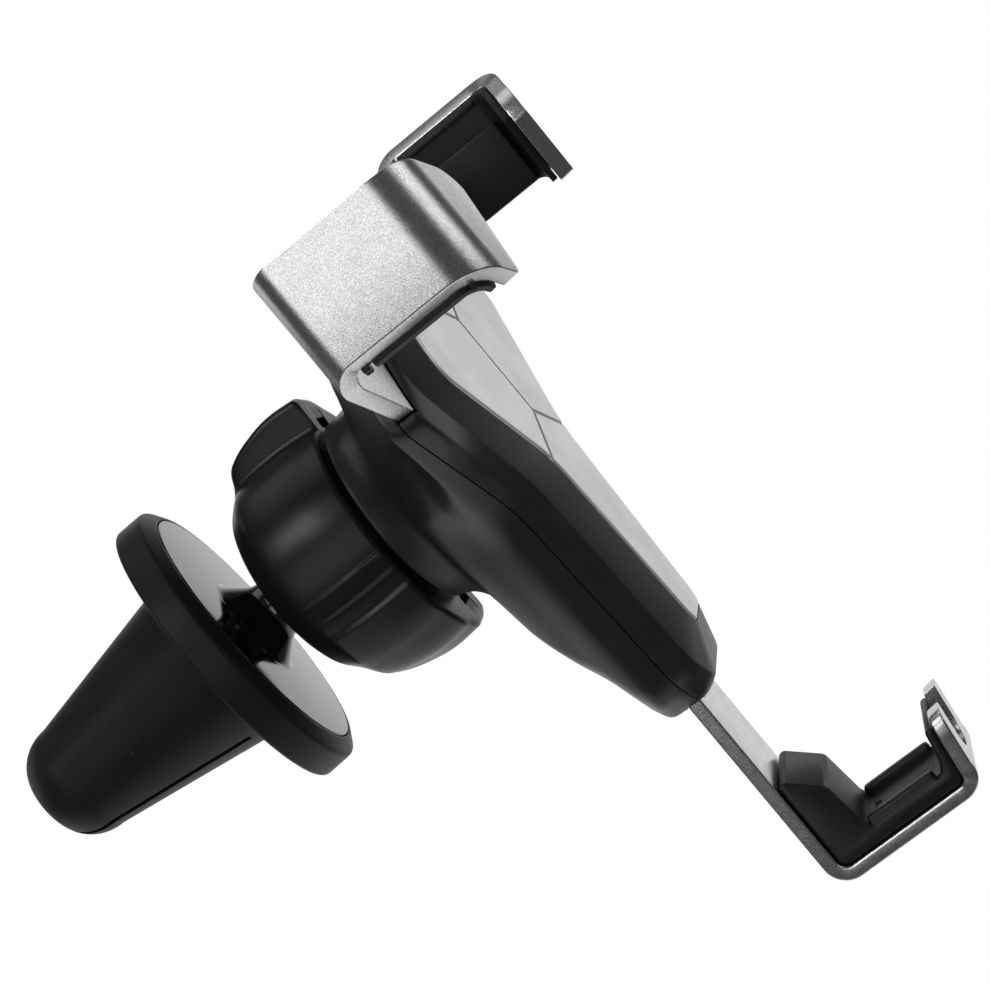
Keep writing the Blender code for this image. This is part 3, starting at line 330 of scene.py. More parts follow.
# The same lacquer on the grooves' floors, rougher and painted darker: painted shade in the grooves, so that the lines
# read dark from every side.
grooveShadeLacquer = dict(lacquer, dark="#828284", light="#98989A", roughness=(0.45, 0.55))
acetal = {  # natural acetal: milky and faintly clouded, on the sliding pieces inside
    "shader": {"Metallic": 0.0}, "dark": "#D5D2C8", "light": "#E4E2DA", "tint": "broad", "contrast": (0.0, 1.0),
    "fine": (0.3, 2.0), "broad": (2.4, 3.0), "roughness": (0.32, 0.45), "relief": (0.15, 0.01),
}
zinc = {  # bright zinc plating: a cool clouded shine on the small steel pieces
    "shader": {"Metallic": 1.0}, "dark": "#A9ACB2", "light": "#CFD2D6", "tint": "broad", "contrast": (0.0, 1.0),
    "fine": (0.2, 2.0), "broad": (1.6, 3.0), "roughness": (0.22, 0.36), "relief": (0.15, 0.01),
}


def grownFinish(name, look):  # noises are (size, detail), the fine one is also the relief, the broad one dulls
    finish, tree, shader, place = newFinish(name, look["shader"])
    noise = {kind: grain(tree, place, *look[kind]) for kind in ("fine", "broad")}
    tint = spread(tree, noise[look["tint"]], 0.0, 1.0, *look["contrast"])
    roughness = spread(tree, noise["broad"], *look["roughness"])
    dress(tree, shader, mixColours(tree, tint, look), roughness, bump(tree, noise["fine"], *look["relief"]))
    return finish


dustEdge = (0.04, 0.07)  # a dust speck's reach, as a share of the speck pattern's cells
mattAbs = {  # spark-eroded ABS of the housing: even and dark, greyer where it turns to the light
    "dark": "#161617", "light": "#1C1C1E", "speck": "#3A3A3C", "speckShare": 0.35, "texture": 0.22, "marks": 9.0,
    "dust": 3.2, "roughness": (0.32, 0.4), "depth": 0.2, "ior": 1.5, "specular": 0.33, "sheen": 0.0,
}
satinAbs = {  # the nut, smoother than the housing: long soft lights on its lugs
    "dark": "#0F0F10", "light": "#151516", "speck": "#2E2E30", "speckShare": 0.2, "texture": 0.2, "marks": 7.0,
    "dust": 4.0, "roughness": (0.27, 0.34), "depth": 0.12, "ior": 1.5, "specular": 0.24, "sheen": 0.0,
}
polishedAbs = {  # ball stud and front disc: a slightly hazed mirror of the white studio
    "dark": "#0D0D0E", "light": "#121213", "speck": "#2A2A2C", "speckShare": 0.15, "texture": 0.5, "marks": 12.0,
    "dust": 5.0, "roughness": (0.08, 0.14), "depth": 0.05, "ior": 1.5, "specular": 0.9, "sheen": 0.0,
}
silicone = {  # the plug: dull and deep, with only a breath of light on its edges
    "dark": "#0E0E0F", "light": "#141415", "speck": "#3A3A3B", "speckShare": 0.3, "texture": 0.3, "marks": 6.0,
    "dust": 3.0, "roughness": (0.4, 0.5), "depth": 0.2, "ior": 1.42, "specular": 0.22, "sheen": 0.02,
}
padRubber = {  # the linings: the darkest pieces, with dust and a dry, wide shine
    "dark": "#0B0B0C", "light": "#111112", "speck": "#333334", "speckShare": 0.25, "texture": 0.25, "marks": 5.0,
    "dust": 2.6, "roughness": (0.4, 0.52), "depth": 0.2, "ior": 1.5, "specular": 0.4, "sheen": 0.02,
}


def mouldedBlack(name, look):  # self-coloured plastic or rubber: fine texture, faint handling marks and dust
    shine = {"IOR": look["ior"], "Specular IOR Level": look["specular"], "Sheen Weight": look["sheen"]}
    finish, tree, shader, place = newFinish(name, {**shine, "Sheen Roughness": 0.4})
    texture = grain(tree, place, look["texture"], 2.0)
    marks = grain(tree, place, look["marks"], 4.0)
    cells = addNode(tree, "ShaderNodeTexVoronoi", {"Scale": perMetre(look["dust"])}, {"Vector": place})
    dust = spread(tree, cells.outputs["Distance"], look["speckShare"], 0.0, *dustEdge)
    settings = {"data_type": "RGBA", 7: colour(look["speck"])}
    base = addNode(tree, "ShaderNodeMix", settings, {0: dust, 6: mixColours(tree, marks, look)}).outputs[2]
    dress(tree, shader, base, spread(tree, marks, *look["roughness"]), bump(tree, texture, look["depth"], 0.02))
    return finish


finishes = {
    "blasted": grownFinish("beadBlastedAnodisedAluminium", blasted),
    "milled": grownFinish("milledAnodisedAluminium", milled),
    "lacquer": grownFinish("satinSilverLacquer", lacquer),
    "groove": grownFinish("grooveShadeLacquer", grooveShadeLacquer),
    "housing": mouldedBlack("mattBlackAbs", mattAbs),
    "nut": mouldedBlack("satinBlackAbs", satinAbs),
    "stud": mouldedBlack("polishedBlackAbs", polishedAbs),
    "silicone": mouldedBlack("blackSilicone", silicone),
    "rubber": mouldedBlack("blackPadRubber", padRubber),
    "acetal": grownFinish("naturalAcetal", acetal),
    "zinc": grownFinish("zincPlatedSteel", zinc),
}
print("materials made:", len(finishes))

ventClip = {  # the rubber plug with its flange, and the ball stud that it is moulded round
    "flangeRadius": 17.9,
    "flangeFront": 12.85,
    "flangeRear": 16.4,
    "faceY": 11.7,
    "faceRadius": 16.1,
    "plateThickness": 0.95,
    "plateGap": 0.12,
    "lipWidth": 0.2,  # the flange's lip round the plate
    "postRadius": 2.9,
    "postLength": 5.2,
    "postPlay": 0.1,
    "plugBase": 10.6,
    "plugTip": 6.9,
    "plugLength": 26.6,
    "domeShare": 0.8,  # the tip's dome, as a share of its radius
    "domeFullness": 0.75,
    "slitWidth": 0.85,
    "slitStart": 2.8,
    "slitRoll": 36.0,
    "stemRadius": 3.5,
    "hubRadius": 5.4,
    "hubLength": 2.3,
}


def makePlug():
    c = ventClip
    recess = c["faceY"] + c["plateThickness"] + c["plateGap"]
    post = c["postRadius"] + c["plateGap"]
    postEnd = recess + c["postLength"] + c["postPlay"]
    tip = c["flangeRear"] + c["plugLength"]
    dome = c["plugTip"] * c["domeShare"]
    lip = c["faceRadius"] - c["lipWidth"]
    corners = [
        ((0.0, postEnd), 0.0),
        ((post, postEnd), 0.0),
        ((post, recess), 0.0),
        ((lip, recess), 0.0),
        ((lip, c["faceY"] + 0.1), 0.08),
        ((c["faceRadius"] + 0.05, c["faceY"]), 0.2),
        ((c["flangeRadius"] - 0.05, c["flangeFront"] - 0.1), 0.35),
        ((c["flangeRadius"], c["flangeRear"]), 0.55),
        ((c["plugBase"] + 0.2, c["flangeRear"]), 0.9),
        ((c["plugTip"], tip - dome), 0.0),
    ]
    profile = softProfile(corners, 6)
    for k in range(1, 24):
        a = radians(90 * k / 24)
        profile.append((c["plugTip"] * cos(a) ** c["domeFullness"], tip - dome + dome * sin(a)))
    profile.append((0.0, tip))
    plug = turned("plugBody", profile, 192)
    half = c["slitWidth"] / 2
    slit = block("slit", (-half, c["flangeRear"] + c["slitStart"], -20.0), (half, tip + 2.0, 20.0))
    carve(plug, [placed(slit, c["slitRoll"])])
    finishPiece(plug, "vent_clip", ["silicone"], "vent_plug", place=clipToFrame)


def makeStud():
    c = ventClip
    face = c["faceY"] - 0.05
    rear = c["faceY"] + c["plateThickness"]
    radius = ballJoint["radius"]
    start = degrees(asin(c["stemRadius"] / radius))
    profile = [(0.0, -radius)]
    for k in range(1, 41):
        a = radians(180.0 - (180.0 - start) * k / 40)
        profile.append((radius * sin(a), radius * cos(a)))
    plate = c["faceRadius"] - c["lipWidth"] - c["plateGap"]
    corners = [
        (profile[-1], 0.0),
        ((c["stemRadius"], face - c["hubLength"] - 0.5), 0.6),
        ((c["hubRadius"] - 0.6, face - 1.3), 0.8),
        ((c["hubRadius"] + 0.6, face), 0.5),
        ((plate, face), 0.25),
        ((plate, rear), 0.0),
        ((c["postRadius"], rear), 0.0),
        ((c["postRadius"], rear + c["postLength"]), 0.4),
        ((0.0, rear + c["postLength"]), 0.0),
    ]
    stud = turned("studBody", profile[:-1] + softProfile(corners, 5), 160)
    finishPiece(stud, "vent_clip", ["stud"], "ball_stud", place=clipToFrame)


makePlug()
makeStud()
print("vent clip made")

clampNut = {  # lug angles are degrees round the axis, the rest is millimetres
    "frontY": 19.84,
    "length": 14.6,
    "wall": 2.25,
    "boreGap": 0.33,
    "swell": 0.5,
    "swellY": 4.5,
    "dome": 3.3,
    "rimWidth": 1.1,
    "mouthDepth": 1.8,
    "throatStep": 1.7,
    "lugRise": 3.9,
    "lugLength": 11.6,
    "lugFade": 2.6,
    "lugStarts": (8.0, 205.0),
    "lugAngle": 82.0,
    "lugLead": 20.0,
    "pocket": (0.75, 3.0, 1.7),  # half height, depth and half width of the hollow behind a lug
    "pocketPlace": 0.84,  # as a share of the lug's angle
    "rib": (0.55, 4.2, 0.28),  # height, length and half width of the rib on the rim
}


def lugHeight(t):  # two low steps lead in, then a ramp and a steep flank
    lead = clampNut["lugLead"]
    wide = clampNut["lugAngle"]
    keys = [
        (-lead - 1.2, 0.0), (-lead, 0.055), (-lead / 2 - 0.7, 0.045), (-lead / 2 + 0.7, 0.11), (-0.9, 0.09),
        (0.9, 0.25), (wide * 0.3, 0.4), (wide * 0.6, 0.66), (wide * 0.82, 0.9), (wide - 3.0, 1.0),
        (wide + 1.0, 1.0), (wide + 5.0, 0.0),
    ]
    best = 0.0
    for start in clampNut["lugStarts"]:
        u = (degrees(t) - start + 180.0) % 360.0 - 180.0
        for (a, low), (b, high) in zip(keys, keys[1:]):
            if a <= u < b:
                best = max(best, low + (high - low) * smoothStep((u - a) / (b - a)))
    return best


def makeNut():
    n = clampNut
    bore = ballJoint["cupOuter"] + ballJoint["socketGap"] + ballJoint["socketWall"] + n["boreGap"]
    radius = bore + n["wall"]
    front = n["frontY"]
    rear = front + n["length"]
    lugEnd = front + n["lugLength"]
    mouth = radius - n["dome"] - n["rimWidth"]
    throat = rear - n["mouthDepth"]
    outside = [  # radius, y, share of the lug's height there, rounding
        (radius - 0.35, front, 0.96, 0.2),
        (radius, front + 0.4, 1.0, 0.25),
        (radius + n["swell"], front + n["swellY"], 0.97, 2.0),
        (radius + n["swell"] * 0.8, lugEnd - n["lugFade"], 0.72, 1.5),
        (radius + n["swell"] * 0.3, lugEnd - n["lugFade"] * 0.2, 0.5, 0.6),
        (radius - n["dome"] * 0.06, lugEnd + n["lugFade"] * 0.15, 0.1, 0.5),
        (radius - n["dome"] * 0.3, rear - n["dome"] * 0.5, 0.0, 0.8),
        (radius - n["dome"] * 0.6, rear - n["dome"] * 0.18, 0.0, 0.5),
        (radius - n["dome"], rear, 0.0, 0.2),
    ]
    inside = [
        (mouth, rear, 0.0, 0.3),
        (mouth - n["throatStep"], throat, 0.0, 0.3),
        (bore - 1.2, throat, 0.0, 0.0),
        (bore, throat - 1.0, 0.0, 0.0),
        (bore, front + 0.35, 0.0, 0.1),
        (bore + 0.35, front, 0.0, 0.1),
    ]
    stops = outside + inside
    line = softLine([(r, y, h) for r, y, h, s in stops], [s for r, y, h, s in stops], 5, closed=True)
    share = {(round(p.x, 5), round(p.y, 5)): p.z for p in line}

    def shape(r, y, t):
        return r + n["lugRise"] * lugHeight(t) * share[(round(r, 5), round(y, 5))]

    nut = turned("nutBody", [(p.x, p.y) for p in line], 540, (0, 0, ballJoint["height"]), shape, 40.0)
    centre = (0, 0, ballJoint["height"])
    pockets = []
    rise, deep, half = n["pocket"]
    for start in n["lugStarts"]:  # cored out behind each lug's thick end
        pocket = block("pocket", (radius - rise, front - 1.0, -half), (radius + rise, front + deep, half))
        easeEdges(pocket, 0.4)
        pockets.append(placed(pocket, -start - n["lugAngle"] * n["pocketPlace"], at=centre))
    carve(nut, pockets, sharpAngle=40.0)
    rise, long, half = n["rib"]
    rib = block("rib", (radius - 0.6, front + 0.15, -half), (radius + rise, front + long, half))
    easeEdges(rib, 0.2)
    placed(rib, n["lugLead"] - 0.5 - n["lugStarts"][1], at=centre)
    carve(nut, [rib], "UNION", sharpAngle=40.0)
    finishPiece(nut, "nut", ["nut"], "clamp_nut")


makeNut()
print("clamp nut made")

armSlope = 0.5295  # rise over run of the arms' legs and channels
housing = {
    "plateThickness": 1.2,
    "plateGap": 0.15,
    "floorGap": 0.15,
    "rimDrop": 2.0,
    "rimLip": 0.2,
    "swell": 0.22,
    "swellY": 3.3,
    "upright": (1.4, 9.0, 0.99, 0.6),  # start and reach from the shoulder, share of the seam's width, lift in Y
    "seamY": 4.95,
    "seamGap": 0.1,
    "edgeY": 7.0,
    "edgeSideY": 7.8,
    "edgeFootY": 9.0,
    "limbHollow": 0.2,
    "neckRadius": 12.0,
    "neckY": 18.9,
    "neckRound": 0.35,
    "socketEnd": 30.5,
    "slotWidth": 1.2,
    "slotY": 22.0,
    "slotPlay": 0.3,
    "borePlay": 0.1,
}
grooves = {  # the fine Y of lines on the face plate, cut wider than real to show from the camera
    "half": 0.33,
    "depth": 0.25,
    "reach": 40.0,  # past the plate's edge
    "forkZ": 4.7,
    "legRun": 8.2,
    "armRise": 5.62,
}
# How far the rear has swept out to the neck, by the share of the way in.
neckRise = [
    (0, 0), (0.03, 0.05), (0.16, 0.17), (0.30, 0.29), (0.45, 0.46), (0.62, 0.60), (0.76, 0.655), (0.87, 0.70),
    (0.94, 0.79), (0.98, 0.89), (1, 1),
]
# Foot, side, waist and shoulder corners, the notch between the limbs, and how far each is rounded.
outlines = {
    "plate": ((3.4, -24.3), (4.6, -23.0), (8.2, 0.5), (24.3, 16.5), 20.6, (0.6, 0.9, 3.0, 3.6, 3.0, 2.5)),
    "rim": ((6.3, -30.0), (11.0, -25.5), (14.9, 0.3), (29.7, 17.6), 23.0, (1.8, 2.6, 3.6, 3.6, 3.6, 3.0)),
    "seam": ((6.4, -31.4), (11.9, -26.6), (17.2, -0.5), (32.9, 14.6), 23.9, (1.8, 2.6, 3.6, 1.8, 3.6, 3.0)),
    "edge": ((5.7, -31.3), (12.2, -27.6), (17.9, -1.0), (33.0, 15.4), 24.1, (1.8, 2.6, 3.6, 1.8, 3.6, 3.0)),
}
outlineSteps = [6, 18, 14, 12, 14, 14, 12, 14, 18, 6, 10]


def outlineRing(name, levels):
    foot, side, waist, shoulder, notch, rounding = outlines[name]
    angle = atan(armSlope)
    reach = (notch + armSlope * shoulder[0] - shoulder[1]) / (cos(angle) + armSlope * sin(angle))
    top = (shoulder[0] - sin(angle) * reach, shoulder[1] + cos(angle) * reach)
    right = [Vector((x, y, z)) for (x, z), y in zip((foot, side, waist, shoulder, top), levels)]
    left = [Vector((-p.x, p.y, p.z)) for p in reversed(right)]
    corners = right + [Vector((0, levels[5], notch))] + left
    setbacks = [rounding[i] for i in (0, 1, 2, 3, 4, 5, 4, 3, 2, 1, 0)]
    rounded = softLine(corners, setbacks, 8, closed=True)
    ring = []
    for i in range(11):
        ring += rounded[i * 9 : i * 9 + 9]
        a, b = ring[-1], rounded[(i * 9 + 9) % 99]
        ring += [a.lerp(b, k / outlineSteps[i]) for k in range(1, outlineSteps[i])]
    return ring


def grown(ring, amount):  # a ring moved outward in its own plane
    out = []
    for i, p in enumerate(ring):
        run = ring[(i + 1) % len(ring)] - ring[i - 1]
        across = Vector((run.z, 0, -run.x))
        out.append(p + across.normalized() * amount)
    return out


def atLevel(ring, y):
    return [Vector((p.x, y, p.z)) for p in ring]


def columns(rings, setbacks, steps=4):  # rounds a stack of rings along its height
    lines = [softLine(stack, setbacks, steps) for stack in zip(*rings)]
    return [list(ring) for ring in zip(*lines)]


armBar = {
    "outerX": 45.5,
    "thickness": 2.0,
    "rearY": 4.8,
    "rearBend": 3.0,
    "cornerY": -14.1,  # where wall and lip would meet, were they not bent round
    "frontBend": 5.0,
    "flare": 8.5,
    "lipReach": 7.2,
    "lipLean": 2.7,  # how much further the lip's top reaches than its foot
    "lipRaise": 0.9,
    "lipRound": 2.6,
    "topZ": 36.07,
    "bottomLegZ": 22.68,
    "bottomWallZ": 23.8,
    "legEndX": 11.6,
    "edge": 0.2,
    "channelGap": 0.16,
    "pinFromEnd": 2.4,
}
footBar = {
    "rearY": 6.65,
    "thickness": 1.65,
    "width": 12.4,
    "bottomZ": -58.0,
    "frontY": -13.8,
    "lean": 0.9,  # of the hook's upright, over its height
    "bend": 3.0,
    "tipZ": -47.9,
    "prongWidth": 13.3,
    "prongGap": 5.9,
    "notchZ": -54.6,
    "topZ": 8.0,
    "edge": 0.28,
}
slide = {
    "travel": 5.8,
    "gap": 0.15,
    "thickness": 1.6,
    "halfBar": 3.6,
    "barEnd": 17.6,
    "corner": 3.0,
    "tongueWidth": 10.0,
    "tongueZ": -5.0,
    "ledgeDepth": 3.6,
    "ledgeHeight": 1.5,
    "ledgeWidth": 5.6,
    "pinEndY": 9.45,
    "springSeatZ": -19.2,
    "postHole": 1.55,
    "roomPlay": 0.4,
    "screwX": 16.6,
    "screwRise": 5.83,
    "screwRadius": 1.1,
    "screwHead": 2.2,
    "rivetDrop": 3.0,
    "rivetPitch": 5.9,
}
legTop = armBar["topZ"] - armSlope * armBar["outerX"]
screwZ = legTop + armSlope * slide["screwX"] + slide["screwRise"]
springY = footBar["rearY"] + slide["gap"] + slide["thickness"] + slide["ledgeDepth"] / 2 - 0.55


def legMiddle(x):
    return (armBar["topZ"] + armBar["bottomLegZ"]) / 2 - armSlope * (armBar["outerX"] - x)


def makePlate():
    h = housing
    ring = outlineRing("plate", [0.0] * 6)
    inner, rear = grown(ring, -1.2), h["plateThickness"]
    stack = [atLevel(inner, 0.0), atLevel(ring, 0.0), atLevel(ring, rear), atLevel(inner, rear)]
    plate = skin("plateSilver", columns(stack, [0, 0.42, 0.1, 0], 5))
    half, depth, reach, fork = (grooves[k] for k in ("half", "depth", "reach", "forkZ"))
    top = legTop + grooves["armRise"]
    down = -atan2(fork - 0.5, grooves["legRun"])
    up = atan(armSlope)

    def outerCorner(z, angle, side):
        across, along = side * half, reach
        return (
            along * cos(angle) - across * sin(angle),
            z + along * sin(angle) + across * cos(angle),
        )

    def innerCorner(z, angle, side):
        return (half, z + side * half / cos(angle) + half * tan(angle))

    right = [
        outerCorner(fork, down, -1), outerCorner(fork, down, 1), innerCorner(fork, down, 1),
        innerCorner(top, up, -1), outerCorner(top, up, -1), outerCorner(top, up, 1),
    ]
    left = [(-x, z) for x, z in reversed(right)]
    line = [(0.0, fork - half / cos(down))] + right + [(0.0, top + half / cos(up))] + left
    carve(plate, [slab("groove", line, -1.0, depth)], sharpAngle=25.0)
    # the grooves' floors get the darker lacquer, which is painted shade
    for face in plate.data.polygons:
        if abs(face.center.y - depth) < 0.02 and face.normal.y < -0.9:
            face.material_index = 1
    finishPiece(plate, "head", ["lacquer", "groove"], "face_plate")


def legChannel(side):
    angle = atan(armSlope)
    low = armBar["bottomLegZ"] - armSlope * armBar["outerX"] - armBar["channelGap"] / cos(angle)
    high = legTop + armBar["channelGap"] / cos(angle)
    corners = [(x * side, z + armSlope * x) for x, z in ((-4.0, low), (60.0, low), (60.0, high), (-4.0, high))]
    return slab("channel", corners, armBar["rearY"] - armBar["thickness"] - armBar["channelGap"], 9.0)


def rod(name, radius, low, high, centre, steps=48):
    return turned(name, [(0.0, low), (radius, low), (radius, high), (0.0, high)], steps, centre)


def makeFrontHousing():
    h = housing
    rear = h["seamY"] - h["seamGap"] / 2
    seam = outlineRing("seam", [rear] * 6)
    rim = outlineRing("rim", [h["rimDrop"]] * 6)
    mouth = grown(outlineRing("plate", [0.0] * 6), h["plateGap"])
    part = (h["swellY"] - h["rimDrop"]) / (rear - h["rimDrop"]) + h["swell"]
    shoulder = Vector((*outlines["seam"][3], 0.0))
    swell = []
    start, reach, wide, lift = h["upright"]
    for a, b in zip(rim, seam):  # the wall stands upright where an arm leaves it
        upright = smoothStep(start - (Vector((abs(b.x), b.z, 0.0)) - shoulder).length / reach)
        share = part + (wide - part) * upright
        swell.append(Vector((a.x + (b.x - a.x) * share, h["swellY"] - lift * upright, a.z + (b.z - a.z) * share)))
    floor = h["plateThickness"] + h["floorGap"]
    stack = [grown(seam, -1.0), seam, swell, rim]
    stack += [atLevel(mouth, h["rimLip"]), atLevel(mouth, floor), atLevel(grown(mouth, -1.0), floor)]
    front = skin("housingFront", columns(stack, [0, 0.1, 0.7, 0.26, 0.12, 0.1, 0], 5))
    half = footBar["width"] / 2 + h["slotPlay"]
    tools = [legChannel(-1), legChannel(1), block("slot", (-half, h["seamY"] - 0.35, -40.0), (half, 9.0, 8.5))]
    for side in (-1, 1):
        at = (slide["screwX"] * side, 0, screwZ)
        tools.append(rod("bore", slide["screwRadius"] + h["borePlay"], h["seamY"] - 2.2, 9.0, at))
    carve(front, tools, sharpAngle=35.0)
    finishPiece(front, "head", ["housing"], "front_shell")


def riseAt(s):  # a smooth curve through the neck's keys
    keys = neckRise
    slopes = []
    for i in range(len(keys)):
        a, b = keys[max(0, i - 1)], keys[min(len(keys) - 1, i + 1)]
        slopes.append((b[1] - a[1]) / (b[0] - a[0]))
    for i in range(len(keys) - 1):
        (a, low), (b, high) = keys[i], keys[i + 1]
        if s <= b:
            w = b - a
            t = (s - a) / w
            return (
                low * (2 * t**3 - 3 * t**2 + 1)
                + slopes[i] * w * (t**3 - 2 * t**2 + t)
                + high * (3 * t**2 - 2 * t**3)
                + slopes[i + 1] * w * (t**3 - t**2)
            )
    return 1.0


def makeRearHousing():
    h = housing
    front = h["seamY"] + h["seamGap"] / 2
    seam = outlineRing("seam", [front] * 6)
    edgeY = h["edgeY"]
    edge = outlineRing("edge", [h["edgeFootY"], h["edgeSideY"], edgeY + 0.2, edgeY - 0.3, edgeY - 0.3, edgeY])
    centre = Vector((0, 0, ballJoint["height"]))

    def neckPoint(p, radius, y):
        return centre + Vector((p.x, 0, p.z - centre.z)).normalized() * radius + Vector((0, y, 0))

    stack = [grown(seam, -1.0), seam, edge]
    setbacks = [0, 0.12, 0.9]
    shares = [0.08 + 0.92 * (1 - (1 - k / 30) ** 1.6) for k in range(30)]
    for s in shares:
        ring = []
        for p in edge:
            q = neckPoint(p, h["neckRadius"], h["neckY"])
            away = Vector((p.x, p.z - centre.z)).normalized().y
            hollow = h["limbHollow"] * min(1.0, max(0.0, away / 0.35 + 0.2)) * sin(pi * s**0.7)
            rise = riseAt(s) - hollow
            ring.append(Vector((p.x + (q.x - p.x) * s, p.y + (q.y - p.y) * rise, p.z + (q.z - p.z) * s)))
        stack.append(ring)
        setbacks.append(0)
    bore = ballJoint["cupOuter"] + ballJoint["socketGap"]
    outer = bore + ballJoint["socketWall"]
    end = h["socketEnd"]
    floor = ballY - ballJoint["cupOuter"] - 0.5
    for radius, y, setback in (
        (h["neckRadius"], h["neckY"], 0),
        (h["neckRadius"], h["neckY"] + h["neckRound"], 0.3),
        (outer, h["neckY"] + h["neckRound"], 0.2),
        (outer, end, 0.4),
        (bore, end, 0.2),
        (bore, floor, 0),
        (bore * 0.4, floor, 0),
    ):
        stack.append([neckPoint(p, radius, y) for p in edge])
        setbacks.append(setback)
    rear = skin("housingRear", columns(stack, setbacks, 4))
    s = slide
    barRear = footBar["rearY"] + s["gap"] + s["thickness"]
    pinZ = legMiddle(armBar["legEndX"] + armBar["pinFromEnd"])
    low, high = pinZ - s["halfBar"] - s["travel"] - 0.6, pinZ + s["halfBar"] + 0.6
    side, corner = s["barEnd"] + 0.5, s["corner"] + 0.2
    right = [(side - corner, low), (side, low + corner), (side, high)]
    room = right + [(-x, z) for x, z in reversed(right)]
    play = s["roomPlay"]
    half, tongue, ledge = footBar["width"] / 2 + h["slotPlay"], s["tongueWidth"] / 2 + play, s["ledgeWidth"] / 2 + play
    tongueLow, ledgeTop = s["tongueZ"] - s["travel"] - 1.2, s["tongueZ"] + s["ledgeHeight"] + 0.8
    tools = [
        slab("room", room, 3.0, s["pinEndY"] + 0.45),
        block("room", (-half, 3.0, -45.0), (half, footBar["rearY"] + 0.3, low + 4.0)),
        block("room", (-tongue, 3.0, tongueLow), (tongue, barRear + 1.25, low + 4.0)),
        block("room", (-ledge, 3.0, s["springSeatZ"]), (ledge, barRear + s["ledgeDepth"] + play, ledgeTop)),
    ]
    for turn in (45.0, 135.0):
        slot = block("slot", (-10.0, h["slotY"], -h["slotWidth"] / 2), (10.0, 40.0, h["slotWidth"] / 2))
        tools.append(placed(slot, turn, at=centre))
    for sign in (-1, 1):
        at = (s["screwX"] * sign, 0, screwZ)
        tools.append(rod("bore", s["screwRadius"] + h["borePlay"], 3.0, 20.0, at))
        tools.append(rod("sink", s["screwHead"] + 0.25, h["seamY"] + 2.3, 20.0, at))
    post = rod("post", s["postHole"], -2.0, 1.0, (0, 0, 0))
    tools.append(placed(post, 90, "X", (0, springY, s["springSeatZ"])))
    carve(rear, tools, sharpAngle=35.0)
    finishPiece(rear, "head", ["housing"], "rear_shell")


makePlate()
makeFrontHousing()
makeRearHousing()
print("housing made")


def barSkin(name, stations, edge, steps=4):  # a strip of four-cornered stations, edges and ends eased
    def inset(four, amount):
        out = []
        for i, p in enumerate(four):
            a, b = (four[i - 1] - p).normalized(), (four[(i + 1) % 4] - p).normalized()
            out.append(p + (a + b) * amount)
        return out

    stations = [[Vector(p) for p in four] for four in stations]
    for end, near in ((0, 1), (-1, -2)):
        last = stations[end]
        back = [(b - a).normalized() for a, b in zip(last, stations[near])]
        extra = []
        for k in range(4):
            a = radians(90 * k / 3)
            eased = inset(last, edge * (1 - cos(a)))
            extra.append([p + d * edge * (1 - sin(a)) for p, d in zip(eased, back)])
        stations = list(reversed(extra)) + stations[1:] if end == 0 else stations[:-1] + extra
    rings = [softLine(four, edge, steps, closed=True) for four in stations]
    cut = (2 * steps + 1, 4 * steps + 3)  # the flats between a strip's broad sides are its cut edges
    return skin(name, rings, sideOf=lambda i: 1 if i in cut else 0)


# The outer face in plan: place, normal, share of the way round the front bend, share of the way along the lip.
def armPath():
    a = armBar
    turn = radians(90 - a["flare"])
    rear, front = a["rearBend"], a["frontBend"]
    yRear = a["rearY"] - rear
    yFront = a["cornerY"] + front * tan(turn / 2)
    path = []
    for k in range(13):
        path.append((a["legEndX"] + (a["outerX"] - rear - a["legEndX"]) * k / 12, a["rearY"], pi / 2, 0.0, 0.0))
    for k in range(1, 25):
        t = pi / 2 * (1 - k / 24)
        path.append((a["outerX"] - rear + rear * cos(t), yRear + rear * sin(t), t, 0.0, 0.0))
    for k in range(1, 9):
        path.append((a["outerX"], yRear + (yFront - yRear) * k / 8, 0.0, 0.0, 0.0))
    for k in range(1, 29):
        t = -turn * k / 28
        path.append((a["outerX"] - front + front * cos(t), yFront + front * sin(t), t, k / 28, 0.0))
    bendEnd = path[-1][:2]
    for k in range(1, 25):
        u = 1 - (1 - k / 24) ** 1.5
        path.append((*bendEnd, -turn, 1.0, u))
    return path


def armStations(offsetOut, offsetIn, topDown, lowDown, lipShort, keep=None):
    a = armBar
    turn = radians(90 - a["flare"])
    along = Vector((-sin(turn), -cos(turn)))
    path = armPath()
    foot = (path[-1][0] - (a["outerX"] - a["lipReach"])) / -along.x - lipShort
    head = foot + a["lipLean"]
    stations = []
    for x, y, t, bent, u in path:
        if keep and not keep(x, y, t):
            continue
        normal = Vector((cos(t), sin(t)))
        wallShare = smoothStep((pi / 2 - t) / (pi / 2))
        low = a["bottomLegZ"] + (a["bottomWallZ"] - a["bottomLegZ"]) * wallShare - lowDown
        top = a["topZ"] + a["lipRaise"] * smoothStep(bent) - topDown
        four = []
        for offset, isTop in ((offsetOut, False), (offsetOut, True), (offsetIn, True), (offsetIn, False)):
            reach = (head if isTop else foot) * u
            at = Vector((x, y)) + along * reach - normal * offset
            z = (top if isTop else low) - armSlope * (a["outerX"] - at.x)
            if u > 0:
                radius = a["lipRound"] if isTop else 0.7
                past = max(0.0, radius - ((head if isTop else foot) - reach))
                trim = min(radius - sqrt(max(0.0, radius**2 - past**2)), radius * 0.9)
                z += -trim if isTop else trim
            four.append((at.x, at.y, z))
        stations.append(four)
    return stations


def mirrored(piece, side):
    if side < 0:
        piece.data.transform(Matrix.Scale(-1, 4, (1, 0, 0)))
        piece.data.flip_normals()


